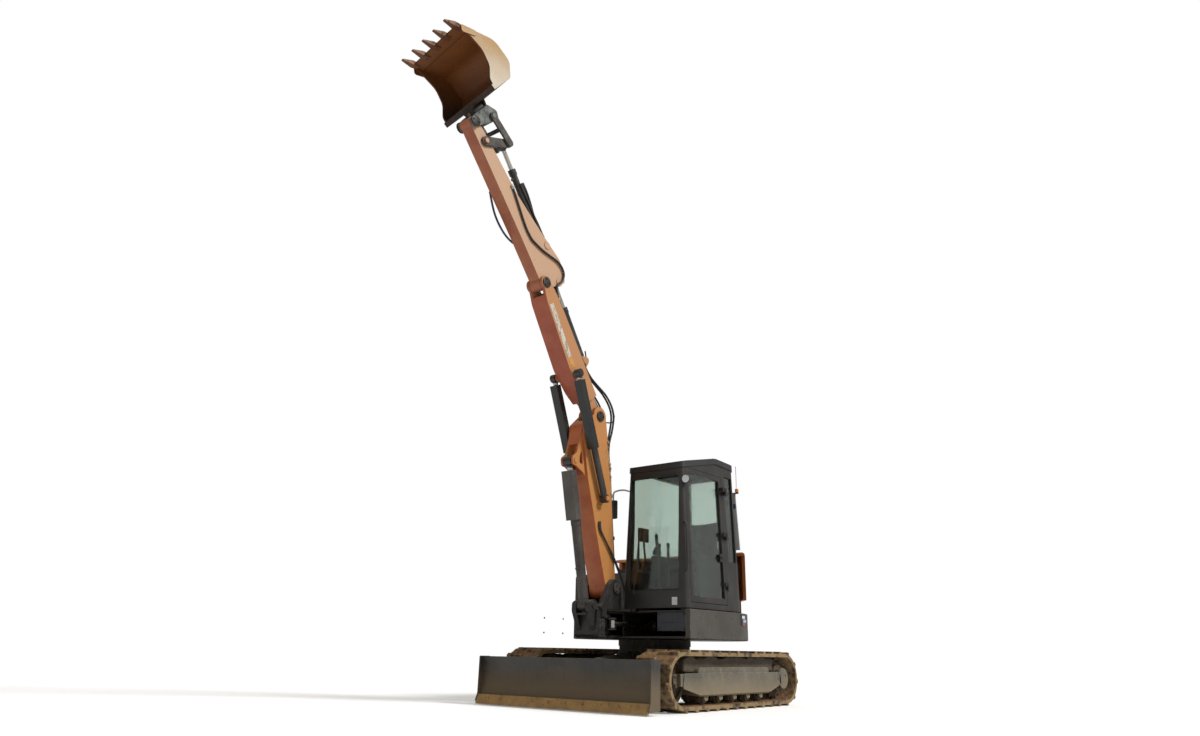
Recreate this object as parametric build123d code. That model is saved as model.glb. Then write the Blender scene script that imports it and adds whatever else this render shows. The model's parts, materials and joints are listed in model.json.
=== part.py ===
from build123d import *
import os
from math import atan2, cos, degrees, hypot, pi, radians, sin, tan

os.makedirs("parts", exist_ok=True)

# Crawler excavator with a swing post and a two-piece boom. Millimetres, +Z up, ground at z = 0,
# slew axis at x = y = 0, front towards -Y, cab on the machine's left (+X).

# ---- driving dimensions ----
overall_width = 2290
shoe_width = 450
track_length = 2850
track_height = 606
slew_face_height = 717      # underside of the deck
deck_depth = 287            # deck underside to deck top
deck_front = -926
deck_left = 1096
tail_radius = 1106
cab_right, cab_left = 146, 1000
cab_front, cab_rear = -840, 420
cab_floor_height = 1034
cab_height = 1610           # floor to front roof edge
cab_taper = 60              # each side wall leans in by this much
cab_wall = 55
boom_half_width = 117
arm_half_width = 75
base_boom_length, base_boom_lean = 1952, 7.6
upper_boom_length, upper_boom_lean = 1682, 37.2
arm_length, arm_lean = 1903, 39.9
bucket_lean = 51.7
bucket_tilt = -8.5           # turn of the bucket on its tilt coupler at rest
bucket_width = 860
blade_width = 2334
blade_height = 492
blade_front = -1787
running_gap = 6             # between pieces that move past each other
pin_gap = 0.5               # radial play of a hole on its pin
seat_gap = 0.3              # between pieces that only rest on each other

# ---- pins, as (y, z) ----
swing_axis_y = -1040
foot_pin = (-1010, 1245)
lift_base_pin = (-1340, 1050)


def along(start, length, lean):
    """Point at this distance from start, leaning forward from the vertical."""
    return start[0] - length * sin(radians(lean)), start[1] + length * cos(radians(lean))


def link_plane(start, lean):
    """Plane of a boom piece: first axis along the piece, second axis towards its back."""
    lean = radians(lean)
    return Plane(origin=(0, *start), x_dir=(0, -sin(lean), cos(lean)), z_dir=(-1, 0, 0))


def on_link(plane, u, v):
    """(y, z) of a point given in a link's plane."""
    spot = plane.from_local_coords(Vector(u, v, 0))
    return spot.Y, spot.Z


boom_pin = along(foot_pin, base_boom_length, base_boom_lean)
arm_pin = along(boom_pin, upper_boom_length, upper_boom_lean)
bucket_pin = along(arm_pin, arm_length, arm_lean)
base_plane = link_plane(foot_pin, base_boom_lean)
upper_plane = link_plane(boom_pin, upper_boom_lean)
arm_plane = link_plane(arm_pin, arm_lean)
bucket_plane = link_plane(bucket_pin, bucket_lean)
lift_top_pin = on_link(base_plane, 1420, -462)
fold_base_pin = on_link(base_plane, 990, -100)
fold_top_pin = on_link(upper_plane, 605, -150)
arm_cylinder_base_pin = on_link(upper_plane, 640, 220)
arm_horn_pin = on_link(arm_plane, -90, 265)
bucket_cylinder_base_pin = on_link(arm_plane, 350, 335)
rocker_pin = on_link(arm_plane, 1670, 40)
rocker_end_pin = on_link(arm_plane, 1562, 393)
coupler_link_pin = on_link(bucket_plane, -76, 300)

parts = {}


# ---- shape helpers ----
def face_of(rows, plane=Plane.YZ):
    """Face from rows of (first, second, corner radius), each corner rounded by a tangent arc."""
    points = [Vector(a, b) for a, b, _ in rows]
    count = len(points)
    edges, ends = [], []
    for i, (_, _, radius) in enumerate(rows):
        here = points[i]
        back, ahead = points[i - 1] - here, points[(i + 1) % count] - here
        half = radians(back.get_angle(ahead)) / 2
        reach = min(radius / tan(half), 0.49 * back.length, 0.49 * ahead.length)
        start, end = here + back.normalized() * reach, here + ahead.normalized() * reach
        if reach > 0.01 and half < 1.56:
            bulge = reach * tan(half) * (1 / sin(half) - 1)
            middle = here + (back.normalized() + ahead.normalized()).normalized() * bulge
            edges.append(Edge.make_three_point_arc(start, middle, end))
        else:
            start = end = here
        ends.append((start, end))
    for i in range(count):
        edges.append(Edge.make_line(ends[i - 1][1], ends[i][0]))
    return plane * Face(Wire(edges))


def slab(rows, plane, half_width):
    """Plate centred on a link's plane."""
    return extrude(face_of(rows, plane), amount=half_width, both=True)


def plate_x(rows, x0, x1):
    """Plate with its outline in (y, z), from x0 to x1."""
    return extrude(face_of(rows, Plane.YZ.offset(x0)), amount=x1 - x0, dir=(1, 0, 0))


def plate_z(rows, z0, z1):
    """Plate with its outline in (x, y), from z0 to z1."""
    return extrude(face_of(rows, Plane.XY.offset(z0)), amount=z1 - z0, dir=(0, 0, 1))


def plate_y(rows, y0, y1):
    """Plate with its outline in (x, z), from y0 to y1."""
    return extrude(face_of(rows, Plane((0, y0, 0), x_dir=(1, 0, 0), z_dir=(0, -1, 0))),
                   amount=y1 - y0, dir=(0, 1, 0))


def block(x0, x1, y0, y1, z0, z1):
    """Box between two corners."""
    return Pos((x0 + x1) / 2, (y0 + y1) / 2, (z0 + z1) / 2) * Box(x1 - x0, y1 - y0, z1 - z0)


def bar_x(radius, x0, x1, pin):
    """Round bar along X at a pin's (y, z)."""
    plane = Plane((x0, *pin), x_dir=(0, 1, 0), z_dir=(1, 0, 0))
    return plane * Cylinder(radius, x1 - x0, align=(Align.CENTER, Align.CENTER, Align.MIN))


def bar_z(radius, x, y, z0, z1):
    """Round bar along Z."""
    return Pos(x, y, z0) * Cylinder(radius, z1 - z0, align=(Align.CENTER, Align.CENTER, Align.MIN))


def both_sides(shape):
    """The shape and its mirror image in x = 0."""
    return shape + mirror(shape, Plane.YZ)


# ---- hydraulic cylinders ----
def ram_plane(base, end, x=0, z_vertical=None):
    """Plane at the base pin whose normal points at the rod's eye."""
    a = Vector(x, *base) if z_vertical is None else Vector(*base, z_vertical)
    b = Vector(x, *end) if z_vertical is None else Vector(*end, z_vertical)
    side = (1, 0, 0) if z_vertical is None else (0, 0, 1)
    return Plane(origin=a, x_dir=side, z_dir=b - a), (b - a).length


def ram(base, end, barrel_r, rod_r, barrel_length, eye_r, eye_half, pin_r, retract, x=0,
        z_vertical=None, gland_rim=8, collar_height=42, port_turn=90, port_back=110):
    """Barrel and rod of a cylinder whose rod can still go in by retract."""
    plane, length = ram_plane(base, end, x, z_vertical)
    across = Plane(origin=(0, 0, 0), x_dir=(0, 1, 0), z_dir=(1, 0, 0))
    eye = across * Cylinder(eye_r, 2 * eye_half)
    hole = across * Cylinder(pin_r + pin_gap, 2 * eye_half + 2)
    start = eye_r + 12
    tube = Pos(0, 0, start) * Cylinder(barrel_r, barrel_length - start,
                                       align=(Align.CENTER, Align.CENTER, Align.MIN))
    tube += Pos(0, 0, eye_r * 0.6) * Cylinder(min(eye_half * 0.95, barrel_r - 4), eye_r * 0.5 + 12,
                                              align=(Align.CENTER, Align.CENTER, Align.MIN))
    gland = Pos(0, 0, barrel_length - 70) * Cylinder(barrel_r + gland_rim, 70,
                                                     align=(Align.CENTER, Align.CENTER, Align.MIN))
    port = Pos(0, 0, barrel_length - port_back) * Rot(port_turn, 0, 0) * Cylinder(
        14, barrel_r + 24, align=(Align.CENTER, Align.CENTER, Align.MIN))
    bore_start = eye_r + 37
    bore = Pos(0, 0, bore_start) * Cylinder(rod_r + pin_gap, barrel_length,
                                            align=(Align.CENTER, Align.CENTER, Align.MIN))
    barrel = plane * (eye + tube + gland + port - hole - bore)
    rod_start = bore_start + retract + 8
    bar = Pos(0, 0, rod_start) * Cylinder(rod_r, length - rod_start - eye_r * 0.5,
                                          align=(Align.CENTER, Align.CENTER, Align.MIN))
    collar = Pos(0, 0, length - eye_r + 12 - collar_height) * Cone(rod_r + 2, eye_r * 0.72, collar_height,
                                                   align=(Align.CENTER, Align.CENTER, Align.MIN))
    rod = plane * (bar + collar + Pos(0, 0, length) * eye)
    return barrel, rod


# ---- tracks and frames ----
track_half_gauge = (overall_width - shoe_width) / 2
wheel_height = track_height / 2
wheel_y = track_length / 2 - wheel_height
lug_height = 24
band_thickness = 38
band_outer = wheel_height - lug_height
band_inner = band_outer - band_thickness
lug_count = 31


def loop_point(s):
    """Place and outward angle on the track band, s from 0 to 1."""
    straight, turn = 2 * wheel_y, pi * band_outer
    d = (s % 1) * 2 * (straight + turn)
    if d < straight:
        return -wheel_y + d, wheel_height + band_outer, 90
    d -= straight
    if d < turn:
        a = pi / 2 - d / band_outer
        return wheel_y + band_outer * cos(a), wheel_height + band_outer * sin(a), degrees(a)
    d -= turn
    if d < straight:
        return wheel_y - d, wheel_height - band_outer, -90
    d -= straight
    a = -pi / 2 - d / band_outer
    return -wheel_y + band_outer * cos(a), wheel_height + band_outer * sin(a), degrees(a)


def track(x_centre):
    """One rubber band with two staggered rows of shoe lugs in its outline."""
    loop = Pos(0, wheel_height) * (SlotCenterToCenter(2 * wheel_y, 2 * band_outer)
                                   - SlotCenterToCenter(2 * wheel_y, 2 * band_inner))
    lug = make_face(Polyline((-8, -30), (lug_height, -19), (lug_height, 19), (-8, 30), close=True))
    halves = []
    for row, (x0, x1) in enumerate(((0, shoe_width / 2), (shoe_width / 2, shoe_width))):
        section = loop
        for i in range(lug_count):
            y, z, angle = loop_point((i + 0.5 * row) / lug_count)
            section += Pos(y, z) * Rot(0, 0, angle) * lug
        plane = Plane.YZ.offset(x_centre - shoe_width / 2 + x0)
        halves.append(extrude(plane * section, amount=x1 - x0, dir=(1, 0, 0)))
    return halves[0] + halves[1]


for side, sign in (("left", 1), ("right", -1)):
    parts[f"track_{side}"] = track(sign * track_half_gauge)

frame_top, frame_bottom = 432, 150
frame_outer = track_half_gauge + shoe_width / 2 - 38
frame_inner = track_half_gauge - 150
roller_r = 62
roller_y = [-600 + 300 * i for i in range(5)]
roller_z = wheel_height - band_inner + roller_r + seat_gap


def track_frame():
    """Box beam between idler and sprocket, with roller hangers and the carrier block on top."""
    beam = plate_x([(-790, frame_bottom, 40), (-790, frame_top, 60), (770, frame_top, 60),
                    (770, frame_bottom, 40)], frame_inner, frame_outer - 12)
    cover = plate_x([(-780, frame_bottom + 12, 40), (-1090, 232, 20), (-1062, frame_top - 55, 40),
                     (1030, frame_top - 55, 30), (1052, 240, 20), (770, frame_bottom + 12, 40)],
                    frame_outer - 12, frame_outer)
    yokes = [block(x0, x1, -1120, -780, 250, 370) for x0, x1 in
             ((frame_inner, frame_inner + 45), (frame_outer - 57, frame_outer - 12))]
    motor_arm = plate_x([(760, frame_bottom + 20, 0), (760, frame_top - 20, 0), (1120, 430, 60),
                         (1120, 190, 60)], frame_inner, frame_inner + 60)
    carrier = block(track_half_gauge - 60, track_half_gauge + 60, -40, 40, frame_top,
                    wheel_height + band_inner - seat_gap)
    carrier = fillet(carrier.edges().filter_by(Axis.X).group_by(Axis.Z)[-1], 12)
    hangers = []
    for y in roller_y:
        for x0, x1 in ((frame_inner + 10, frame_inner + 35), (frame_outer - 60, frame_outer - 35)):
            hangers.append(plate_x([(y - 45, frame_bottom, 0), (y + 45, frame_bottom, 0),
                                    (y + 30, roller_z - 22, 14), (y - 30, roller_z - 22, 14)], x0, x1))
    body = beam + cover + motor_arm + carrier
    body -= block(frame_inner + 28, frame_outer - 53, -690, 690, 100, roller_z + roller_r + running_gap)
    for piece in yokes + hangers:
        body += piece
    return body


def rollers(sign):
    """Lower rollers with their two flanges, one solid each, seated between the hangers."""
    mid, half = sign * (frame_inner + frame_outer - 25) / 2, (frame_outer - frame_inner - 95) / 2 - seat_gap
    return [bar_x(roller_r - 14, mid - half, mid + half, (y, roller_z))
            + bar_x(roller_r, mid - 95, mid - 45, (y, roller_z))
            + bar_x(roller_r, mid + 45, mid + 95, (y, roller_z)) for y in roller_y]


def idler():
    """Front guide wheel: rim, web and hub, carried between the yokes."""
    pin = (-wheel_y, wheel_height)
    x0, x1 = frame_inner + 45, frame_outer - 57
    mid = (x0 + x1) / 2
    wheel = bar_x(band_inner - 2 * seat_gap, mid - 45, mid + 45, pin)
    groove = (bar_x(band_inner - 40, mid + 12, mid + 46, pin)
              + bar_x(band_inner - 40, mid - 46, mid - 12, pin))
    return wheel - groove + bar_x(65, x0, x1, pin)


def sprocket():
    """Rear drive wheel with teeth, and the hub of its motor."""
    pin = (wheel_y, wheel_height)
    teeth = 17
    rim = Pos(*pin) * Circle(band_inner - 34)
    tooth = make_face(Polyline((-40, -26), (0, -20), (31, -9), (31, 9), (0, 20), (-40, 26), close=True))
    for i in range(teeth):
        a = 360 * (i + 0.5) / teeth
        rim += Pos(pin[0] + (band_inner - 34) * cos(radians(a)),
                   pin[1] + (band_inner - 34) * sin(radians(a))) * Rot(0, 0, a) * tooth
    mid = (frame_inner + frame_outer) / 2
    wheel = extrude(Plane.YZ.offset(mid - 22) * rim, amount=44, dir=(1, 0, 0))
    hub = (bar_x(150, frame_inner + 60, frame_outer - 70, pin)
           + bar_x(120, frame_outer - 70, frame_outer - 25, pin))
    hub += bar_x(60, frame_outer - 25, frame_outer - 10, pin)
    return wheel + hub


frame_left = track_frame()
parts["track_frame_left"] = frame_left
parts["track_frame_right"] = mirror(frame_left, Plane.YZ)
parts["track_rollers"] = Compound(children=rollers(1) + rollers(-1))
left_idler, left_sprocket = idler(), sprocket()
parts["idlers"] = Compound(children=[left_idler, mirror(left_idler, Plane.YZ)])
parts["sprockets"] = Compound(children=[left_sprocket, mirror(left_sprocket, Plane.YZ)])

# ---- car body and slew ring ----
ring_radius = 430
ring_bottom = slew_face_height - 75
blade_pivot = (-560, 300)
blade_arm_x = 360
blade_arm_half = 35
blade_ram_base = (-500, 520)


def car_body():
    """Centre housing with four legs that slope down to the track frames."""
    legs = plate_y([(-frame_inner, 190, 0), (-frame_inner, 400, 0), (-420, 540, 60), (420, 540, 60),
                    (frame_inner, 400, 0), (frame_inner, 190, 0), (430, 270, 60), (-430, 270, 60)],
                   -430, 430)
    notch = plate_z([(-frame_inner - 5, -210, 60), (-420, -90, 80), (-420, 90, 80),
                     (-frame_inner - 5, 210, 60)], 100, 700)
    legs -= notch + mirror(notch, Plane.YZ)
    drum = bar_z(ring_radius - 10, 0, 0, 255, ring_bottom)
    ears = []
    for x in (-blade_arm_x, blade_arm_x):
        for s in (-1, 1):
            x0 = x + s * (blade_arm_half + running_gap) - (25 if s < 0 else 0)
            ears.append(plate_x([(-420, 230, 0), (-420, 400, 0), (-570, 365, 45), (-615, 300, 45),
                                 (-570, 240, 45)], x0, x0 + 25))
    pins = [bar_x(28, x - 85, x + 85, blade_pivot) for x in (-blade_arm_x, blade_arm_x)]
    ram_ears = [plate_x([(-380, 430, 0), (-380, 580, 0), (-500, 575, 50), (-550, 520, 45),
                         (-500, 430, 0)], x, x + 22) for x in (-64, 42)]
    ram_pin = bar_x(25, -64, 64, blade_ram_base)
    body = legs + drum
    for piece in ears + pins + ram_ears + [ram_pin]:
        body += piece
    return body


parts["car_body"] = car_body()
ring = bar_z(ring_radius, 0, 0, ring_bottom, slew_face_height - 4) - bar_z(
    ring_radius - 90, 0, 0, ring_bottom - 1, slew_face_height)
parts["slew_ring"] = ring

# ---- dozer blade ----
blade_half = blade_width / 2
edge_height = 100
blade_bottom = 12
blade_top = blade_bottom + blade_height
blade_back = blade_front + 195
mould_r = 420
blade_ram_end = (-1530, 395)


def blade():
    """Curved mouldboard with end plates, back ribs, two push arms and the ram's bracket."""
    front = make_face(Polyline((blade_front + 20, blade_bottom + 40), (blade_back, blade_bottom + 30),
                               (blade_back, blade_top), (blade_front + 60, blade_top), close=True))
    mid_z = (blade_bottom + 100 + blade_top) / 2
    hollow = Pos(blade_front + 40 + 78 - mould_r, mid_z) * Circle(mould_r)
    board = extrude(Plane.YZ.offset(-blade_half) * (front - hollow), amount=2 * blade_half, dir=(1, 0, 0))
    back_cut = plate_x([(blade_back - 75, blade_bottom + 120, 0), (blade_back - 60, blade_top - 60, 0),
                        (blade_back + 5, blade_top - 60, 0), (blade_back + 5, blade_bottom + 120, 0)],
                       -blade_half + 40, blade_half - 40)
    board -= back_cut
    end = plate_x([(blade_front + 5, blade_bottom + 20, 15), (blade_front + 40, blade_bottom + 110, 30),
                   (blade_front + 45, blade_top + 4, 12), (blade_back, blade_top + 4, 12),
                   (blade_back, blade_bottom + 30, 20)], blade_half - 14, blade_half)
    ribs = [block(x - 12, x + 12, blade_back - 80, blade_back, blade_bottom + 110, blade_top - 55)
            for x in (-800, -blade_arm_x, 0, blade_arm_x, 800)]
    arm = plate_x([(blade_back - 40, 150, 0), (blade_back - 40, 400, 0), (blade_back + 160, 370, 60),
                   (blade_pivot[0] - 120, 365, 60), (blade_pivot[0] + 45, 350, 44),
                   (blade_pivot[0] + 45, 250, 44), (blade_pivot[0] - 120, 235, 60),
                   (blade_back + 300, 160, 60)],
                  blade_arm_x - blade_arm_half, blade_arm_x + blade_arm_half)
    arm -= bar_x(28 + pin_gap, 0, 600, blade_pivot)
    tie = block(-blade_arm_x, blade_arm_x, blade_back + 120, blade_back + 240, 190, 330)
    ears = [plate_x([(blade_back - 60, 300, 0), (blade_back - 60, 470, 0), (blade_ram_end[0] + 5, 450, 50),
                     (blade_ram_end[0] + 50, 390, 45), (blade_ram_end[0], 330, 40)], x, x + 22)
            for x in (-76, 54)]
    shape = board + both_sides(end) + both_sides(arm) + tie
    for piece in ribs + ears:
        shape += piece
    for x in (-620, 620):
        lug = plate_x([(blade_back - 70, 300, 0), (blade_back - 70, 420, 0), (blade_back + 70, 400, 40),
                       (blade_back + 70, 320, 40)], x - 15, x + 15)
        shape += lug - bar_x(25, x - 20, x + 20, (blade_back + 25, 360))
    return shape


parts["dozer_blade"] = blade()
edge_rows = [(blade_front, blade_bottom, 0), (blade_front + 24, blade_bottom, 0),
             (blade_front + 66, blade_bottom + edge_height, 0),
             (blade_front + 44, blade_bottom + edge_height, 0)]
parts["dozer_blade"] -= plate_x(edge_rows, -blade_half + 15.5, blade_half - 15.5)
parts["blade_cutting_edge"] = plate_x(edge_rows, -blade_half + 16, blade_half - 16)
blade_barrel, blade_rod = ram(blade_ram_base, blade_ram_end, 55, 30, 640, 44, 40, 25, 75)
parts["blade_ram_barrel"] = blade_barrel
parts["blade_ram_rod"] = blade_rod

# ---- deck ----
deck_top = slew_face_height + deck_depth
nose_half = 115
lug_plate = 28
swing_hub_r = 112
swing_ram_base = (270, 40)
swing_anchor_y = swing_ram_base[1] + 90
floor_thick, plate_thick = 16, 22
swing_lug = (160, swing_axis_y)
swing_ram_z = 862


def deck_plan(inset=0):
    """Plan of the deck: tail circle, square left front corner, cut-off right front corner."""
    side_end = (tail_radius ** 2 - deck_left ** 2) ** 0.5
    corner = Polygon((0, 0), (0, deck_front), (deck_left, deck_front), (deck_left, side_end), align=None)
    right_cut = Polygon((-2000, -2000), (-430, -2000), (-430, deck_front), (-1020, -210),
                        (-2000, -210), align=None)
    front_cut = Pos(0, -3000 + deck_front) * Rectangle(6000, 6000)
    side_cut = Pos(deck_left + 1500, 0) * Rectangle(3000, 6000)
    plan = Circle(tail_radius) + corner - right_cut - front_cut - side_cut
    return offset(plan, -inset, kind=Kind.INTERSECTION) if inset else plan


def nose_lug(z0):
    """Plate that widens from the nose into the deck, round the swing pin."""
    return plate_z([(-nose_half - 60, deck_front + 200, 0), (-nose_half, swing_axis_y, 0),
                    (-nose_half, swing_axis_y - 75, 60), (0, swing_axis_y - nose_half, 90),
                    (nose_half, swing_axis_y - 75, 60), (nose_half, swing_axis_y, 0),
                    (nose_half + 60, deck_front + 200, 0)], z0, z0 + lug_plate)


def deck_bottom():
    """Bottom plate over the slew ring, with the lower nose lug and the swing pin."""
    body = Pos(0, 0, slew_face_height) * extrude(deck_plan(12), amount=plate_thick)
    body += nose_lug(slew_face_height)
    body += bar_z(45, 0, swing_axis_y, slew_face_height, deck_top)
    body += bar_z(ring_radius - 40, 0, 0, slew_face_height - 4 + seat_gap, slew_face_height)
    return body


def deck_webs():
    """Long and cross webs between the plates, with the swing cylinder's ears and pin."""
    z0, z1 = slew_face_height + lug_plate, deck_top - lug_plate
    webs = [block(x, x + 25, deck_front + 150, 900, z0, z1) for x in (-140, 100)]
    feet = [block(x, x + 25, deck_front + 200, 900, slew_face_height + plate_thick, deck_top - floor_thick)
            for x in (-140, 100)]
    cross = [block(x0, x1, y, y + 20, slew_face_height + plate_thick, deck_top - floor_thick)
             for x0, x1, y in ((-900, 950, swing_anchor_y), (-850, 900, 480))]
    bx, by = swing_ram_base
    ears = [plate_z([(bx - 70, swing_anchor_y, 0), (bx - 45, by - 45, 40), (bx + 45, by - 45, 40),
                     (bx + 70, swing_anchor_y, 0)], z, z + 20) for z in (swing_ram_z - 64, swing_ram_z + 44)]
    body = bar_z(25, bx, by, swing_ram_z - 64, swing_ram_z + 64)
    for piece in webs + feet + cross + ears:
        body += piece
    return body


def deck_floor():
    """Floor plate under the covers and the cab, with the upper nose lug and an access window."""
    body = Pos(0, 0, deck_top - floor_thick) * extrude(deck_plan(12), amount=floor_thick)
    body += nose_lug(deck_top - lug_plate)
    body -= block(140, 420, deck_front - 5, -700, deck_top - 40, deck_top + 5)
    return body - bar_z(45 + seat_gap, 0, swing_axis_y, slew_face_height, deck_top + 1)


parts["deck_frame"] = deck_bottom()
parts["deck_webs"] = deck_webs()
parts["deck_floor"] = deck_floor()


skirt_thick = 12
skirt_z = (slew_face_height + 4, deck_top + 12)


def skirt(keep_box):
    """Part of the wall that runs round the deck."""
    wall = extrude(deck_plan(0) - deck_plan(skirt_thick - 0.5), amount=skirt_z[1] - skirt_z[0])
    return (Pos(0, 0, skirt_z[0]) * wall) & keep_box


parts["side_skirts"] = Compound(children=[
    skirt(block(100, 1200, deck_front + 60, 560, 0, 2000) + block(deck_left - 60, 1200, -1200, 0, 0, 2000)),
    skirt(block(-1200, -200, deck_front - 20, 560, 0, 2000))])

# ---- tail: counterweight, hood, engine ----
tail_top = 1745
weight_top = 1180
hood_front = 470
hood_wall = 40


def tail_ring(z0, z1, inner, y0, outer):
    """Curved block behind y0 between two radii round the slew axis."""
    plan = Circle(outer) - Circle(inner)
    clip = Pos(0, y0 + 1000) * Rectangle(2 * deck_left - 2 * seat_gap, 2000)
    return Pos(0, 0, z0) * extrude(plan & clip, amount=z1 - z0)


step_radius = tail_radius - 66
parts["counterweight"] = tail_ring(deck_top + seat_gap, weight_top, 760, hood_front + 100, step_radius) + (
    tail_ring(slew_face_height + 4, deck_top + 12, tail_radius - 11, 562, tail_radius)) + (
    tail_ring(deck_top + seat_gap, deck_top + 12, step_radius - 20, 562, tail_radius))


def hood_shell(z0, z1, plan):
    """Cover with an open underside."""
    outer = Pos(0, 0, z0) * extrude(plan, amount=z1 - z0)
    outer = fillet(outer.edges().group_by(Axis.Z)[-1], 45)
    inner = Pos(0, 0, z0 - 1) * extrude(offset(plan, -hood_wall), amount=z1 - z0 - hood_wall + 1)
    return outer - inner


def sides_of(y0, y1):
    """Box that opens a cover between two values of y."""
    return block(-tail_radius + 60, tail_radius - 60, y0, y1, weight_top - 1, tail_top - hood_wall)


rear_plan = Circle(tail_radius - 4) & (Pos(0, hood_front + 1006) * Rectangle(2 * (tail_radius - 40), 2000))
parts["rear_hood"] = hood_shell(weight_top + running_gap, tail_top, rear_plan) - sides_of(
    hood_front, hood_front + 80)
hood_hinge = (hood_front + 24, tail_top - 60)
parts["engine_block"] = block(-380, 320, 500, 640, deck_top + seat_gap, 1480)
side_top = 1500
side_hood_front = -200


def right_plan(y0, y1):
    """Plan of the covers on the right, inside the tail circle."""
    return Circle(tail_radius - 4) & (Pos(-1000 - 215, (y0 + y1) / 2) * Rectangle(2000, y1 - y0))


side_hinge = (-215 - 26, side_top - 62)
side_pin_r = 10
tank_end = 120
tank_cover = hood_shell(skirt_z[1] + seat_gap, side_top, right_plan(side_hood_front, tank_end))
side_cover = hood_shell(skirt_z[1] + running_gap, side_top,
                        right_plan(tank_end + running_gap, hood_front - 24 - running_gap))
wall_top = tail_top - 135
wall = block(-900, 900, hood_front - 24, hood_front, deck_top + seat_gap, wall_top)


def bar_y(radius, x, z, y0, y1):
    """Round bar along Y."""
    plane = Plane((x, y0, z), x_dir=(1, 0, 0), z_dir=(0, 1, 0))
    return plane * Cylinder(radius, y1 - y0, align=(Align.CENTER, Align.CENTER, Align.MIN))


side_cover -= bar_y(side_pin_r + pin_gap, *side_hinge, 0, hood_front)
tank_cover += bar_y(side_pin_r, *side_hinge, tank_end - 5, tank_end + 40)
wall += bar_y(side_pin_r, *side_hinge, hood_front - 60, hood_front - 20)
pin_y, pin_z = hood_hinge
bracket_rows = [(hood_front - 24, wall_top - 30, 0), (hood_front, wall_top - 30, 0), (pin_y + 15, pin_z, 12),
                (pin_y, pin_z + 15, 12), (pin_y - 15, pin_z, 8), (hood_front - 24, wall_top - 5, 0)]
for x in (-500, 500):
    wall += plate_x(bracket_rows, x - 6, x + 6)
    wall += bar_x(8, x - 30, x + 30, hood_hinge)
    lug = block(x + 12, x + 24, hood_hinge[0] - 12, hood_hinge[0] + 12, hood_hinge[1] - 14,
                tail_top - hood_wall + 5)
    parts["rear_hood"] += lug - bar_x(8 + pin_gap, x, x + 40, hood_hinge)
parts["tank_cover"] = tank_cover
parts["right_side_cover"] = side_cover
parts["tail_wall"] = wall

# ---- cab ----
roof_rise = 150
cab_top = cab_floor_height + cab_height
cab_mid_x = (cab_right + cab_left) / 2
cab_round = 150


def cab_solid(inset, z0=cab_floor_height, z1=cab_top + roof_rise):
    """Tapered cab body: plan shrinks upwards by the taper, rear left corner rounded."""
    def ring_at(z):
        k = cab_taper * (z - cab_floor_height) / cab_height + inset
        y0 = cab_front + k * 0.75 + inset * 0.25
        rows = [(cab_right + k, y0, max(30 - inset, 4)), (cab_left - k, y0, max(45 - inset, 4)),
                (cab_left - k, cab_rear - inset, cab_round - inset), (cab_right + k, cab_rear - inset, 4)]
        return face_of(rows, Plane.XY.offset(z))
    return loft([ring_at(z0), ring_at(z1)])


def roof_cut(drop):
    """Everything above the roof line, lowered by drop."""
    z0, z1 = cab_top - drop, cab_top + roof_rise - drop
    return plate_x([(cab_front - 200, z0 - 62, 0), (cab_front + 120, z0 + 12, 300),
                    (cab_rear - 500, z1, 400), (cab_rear + 200, z1 - 30, 0),
                    (cab_rear + 200, z1 + 600, 0), (cab_front - 200, z1 + 600, 0)],
                   -200, 1400)


roof_thick = 70
cab_outer = cab_solid(0) - roof_cut(roof_thick)
cab_inner = cab_solid(cab_wall, cab_floor_height + 60) - roof_cut(roof_thick + 0)
glass_body = cab_solid(18, cab_floor_height - 2) - cab_solid(25, cab_floor_height - 3)
door_y = (cab_front + 95, 40)
door_gap = running_gap
door_hinge = (cab_left + running_gap, door_y[1])

openings = {
    "front": block(cab_right + 90, cab_left - 105, cab_front - 100, cab_front + 140,
                   cab_floor_height + 190, cab_top - 155),
    "left_rear": block(cab_left - 200, cab_left + 50, door_y[1] + 75, cab_rear - 130,
                       cab_floor_height + 560, cab_top - 40),
    "right": block(cab_right - 50, cab_right + 200, cab_front + 110, cab_rear - 150,
                   cab_floor_height + 420, cab_top - 60),
    "rear": block(cab_right + 140, cab_left - 220, cab_rear - 150, cab_rear + 50,
                  cab_floor_height + 760, cab_top - 20),
}
door_hole = block(cab_left - 200, cab_left + 50, door_y[0], door_y[1], cab_floor_height + 60, cab_top - 60)
door_box = block(cab_left - 200, cab_left + 50, door_y[0] + door_gap, door_y[1] - door_gap,
                 cab_floor_height + 60 + door_gap, cab_top - 60 - door_gap)
door_window = block(cab_left - 200, cab_left + 50, door_y[0] + 60, door_y[1] - 60,
                    cab_floor_height + 130, cab_top - 120)

frame = cab_outer - cab_inner
door = (frame & door_box) - door_window
frame -= door_hole
for hole in openings.values():
    frame -= hole
parts["cab_frame"] = frame
parts["cab_door"] = door
parts["cab_door_glass"] = glass_body & door_window
parts["windscreen"] = glass_body & openings["front"]
parts["cab_windows"] = Compound(children=[glass_body & openings[n] for n in ("left_rear", "right", "rear")])
parts["cab_roof"] = (cab_solid(-12, cab_top - 200, cab_top + roof_rise + 100)
                     - roof_cut(0)) & (roof_cut(roof_thick - seat_gap))
for x in (cab_right + 90, cab_left - 90):
    for y in (cab_front + 90, cab_rear - 90):
        parts["cab_frame"] += bar_z(45, x, y, deck_top + seat_gap, cab_floor_height + 5)

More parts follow.
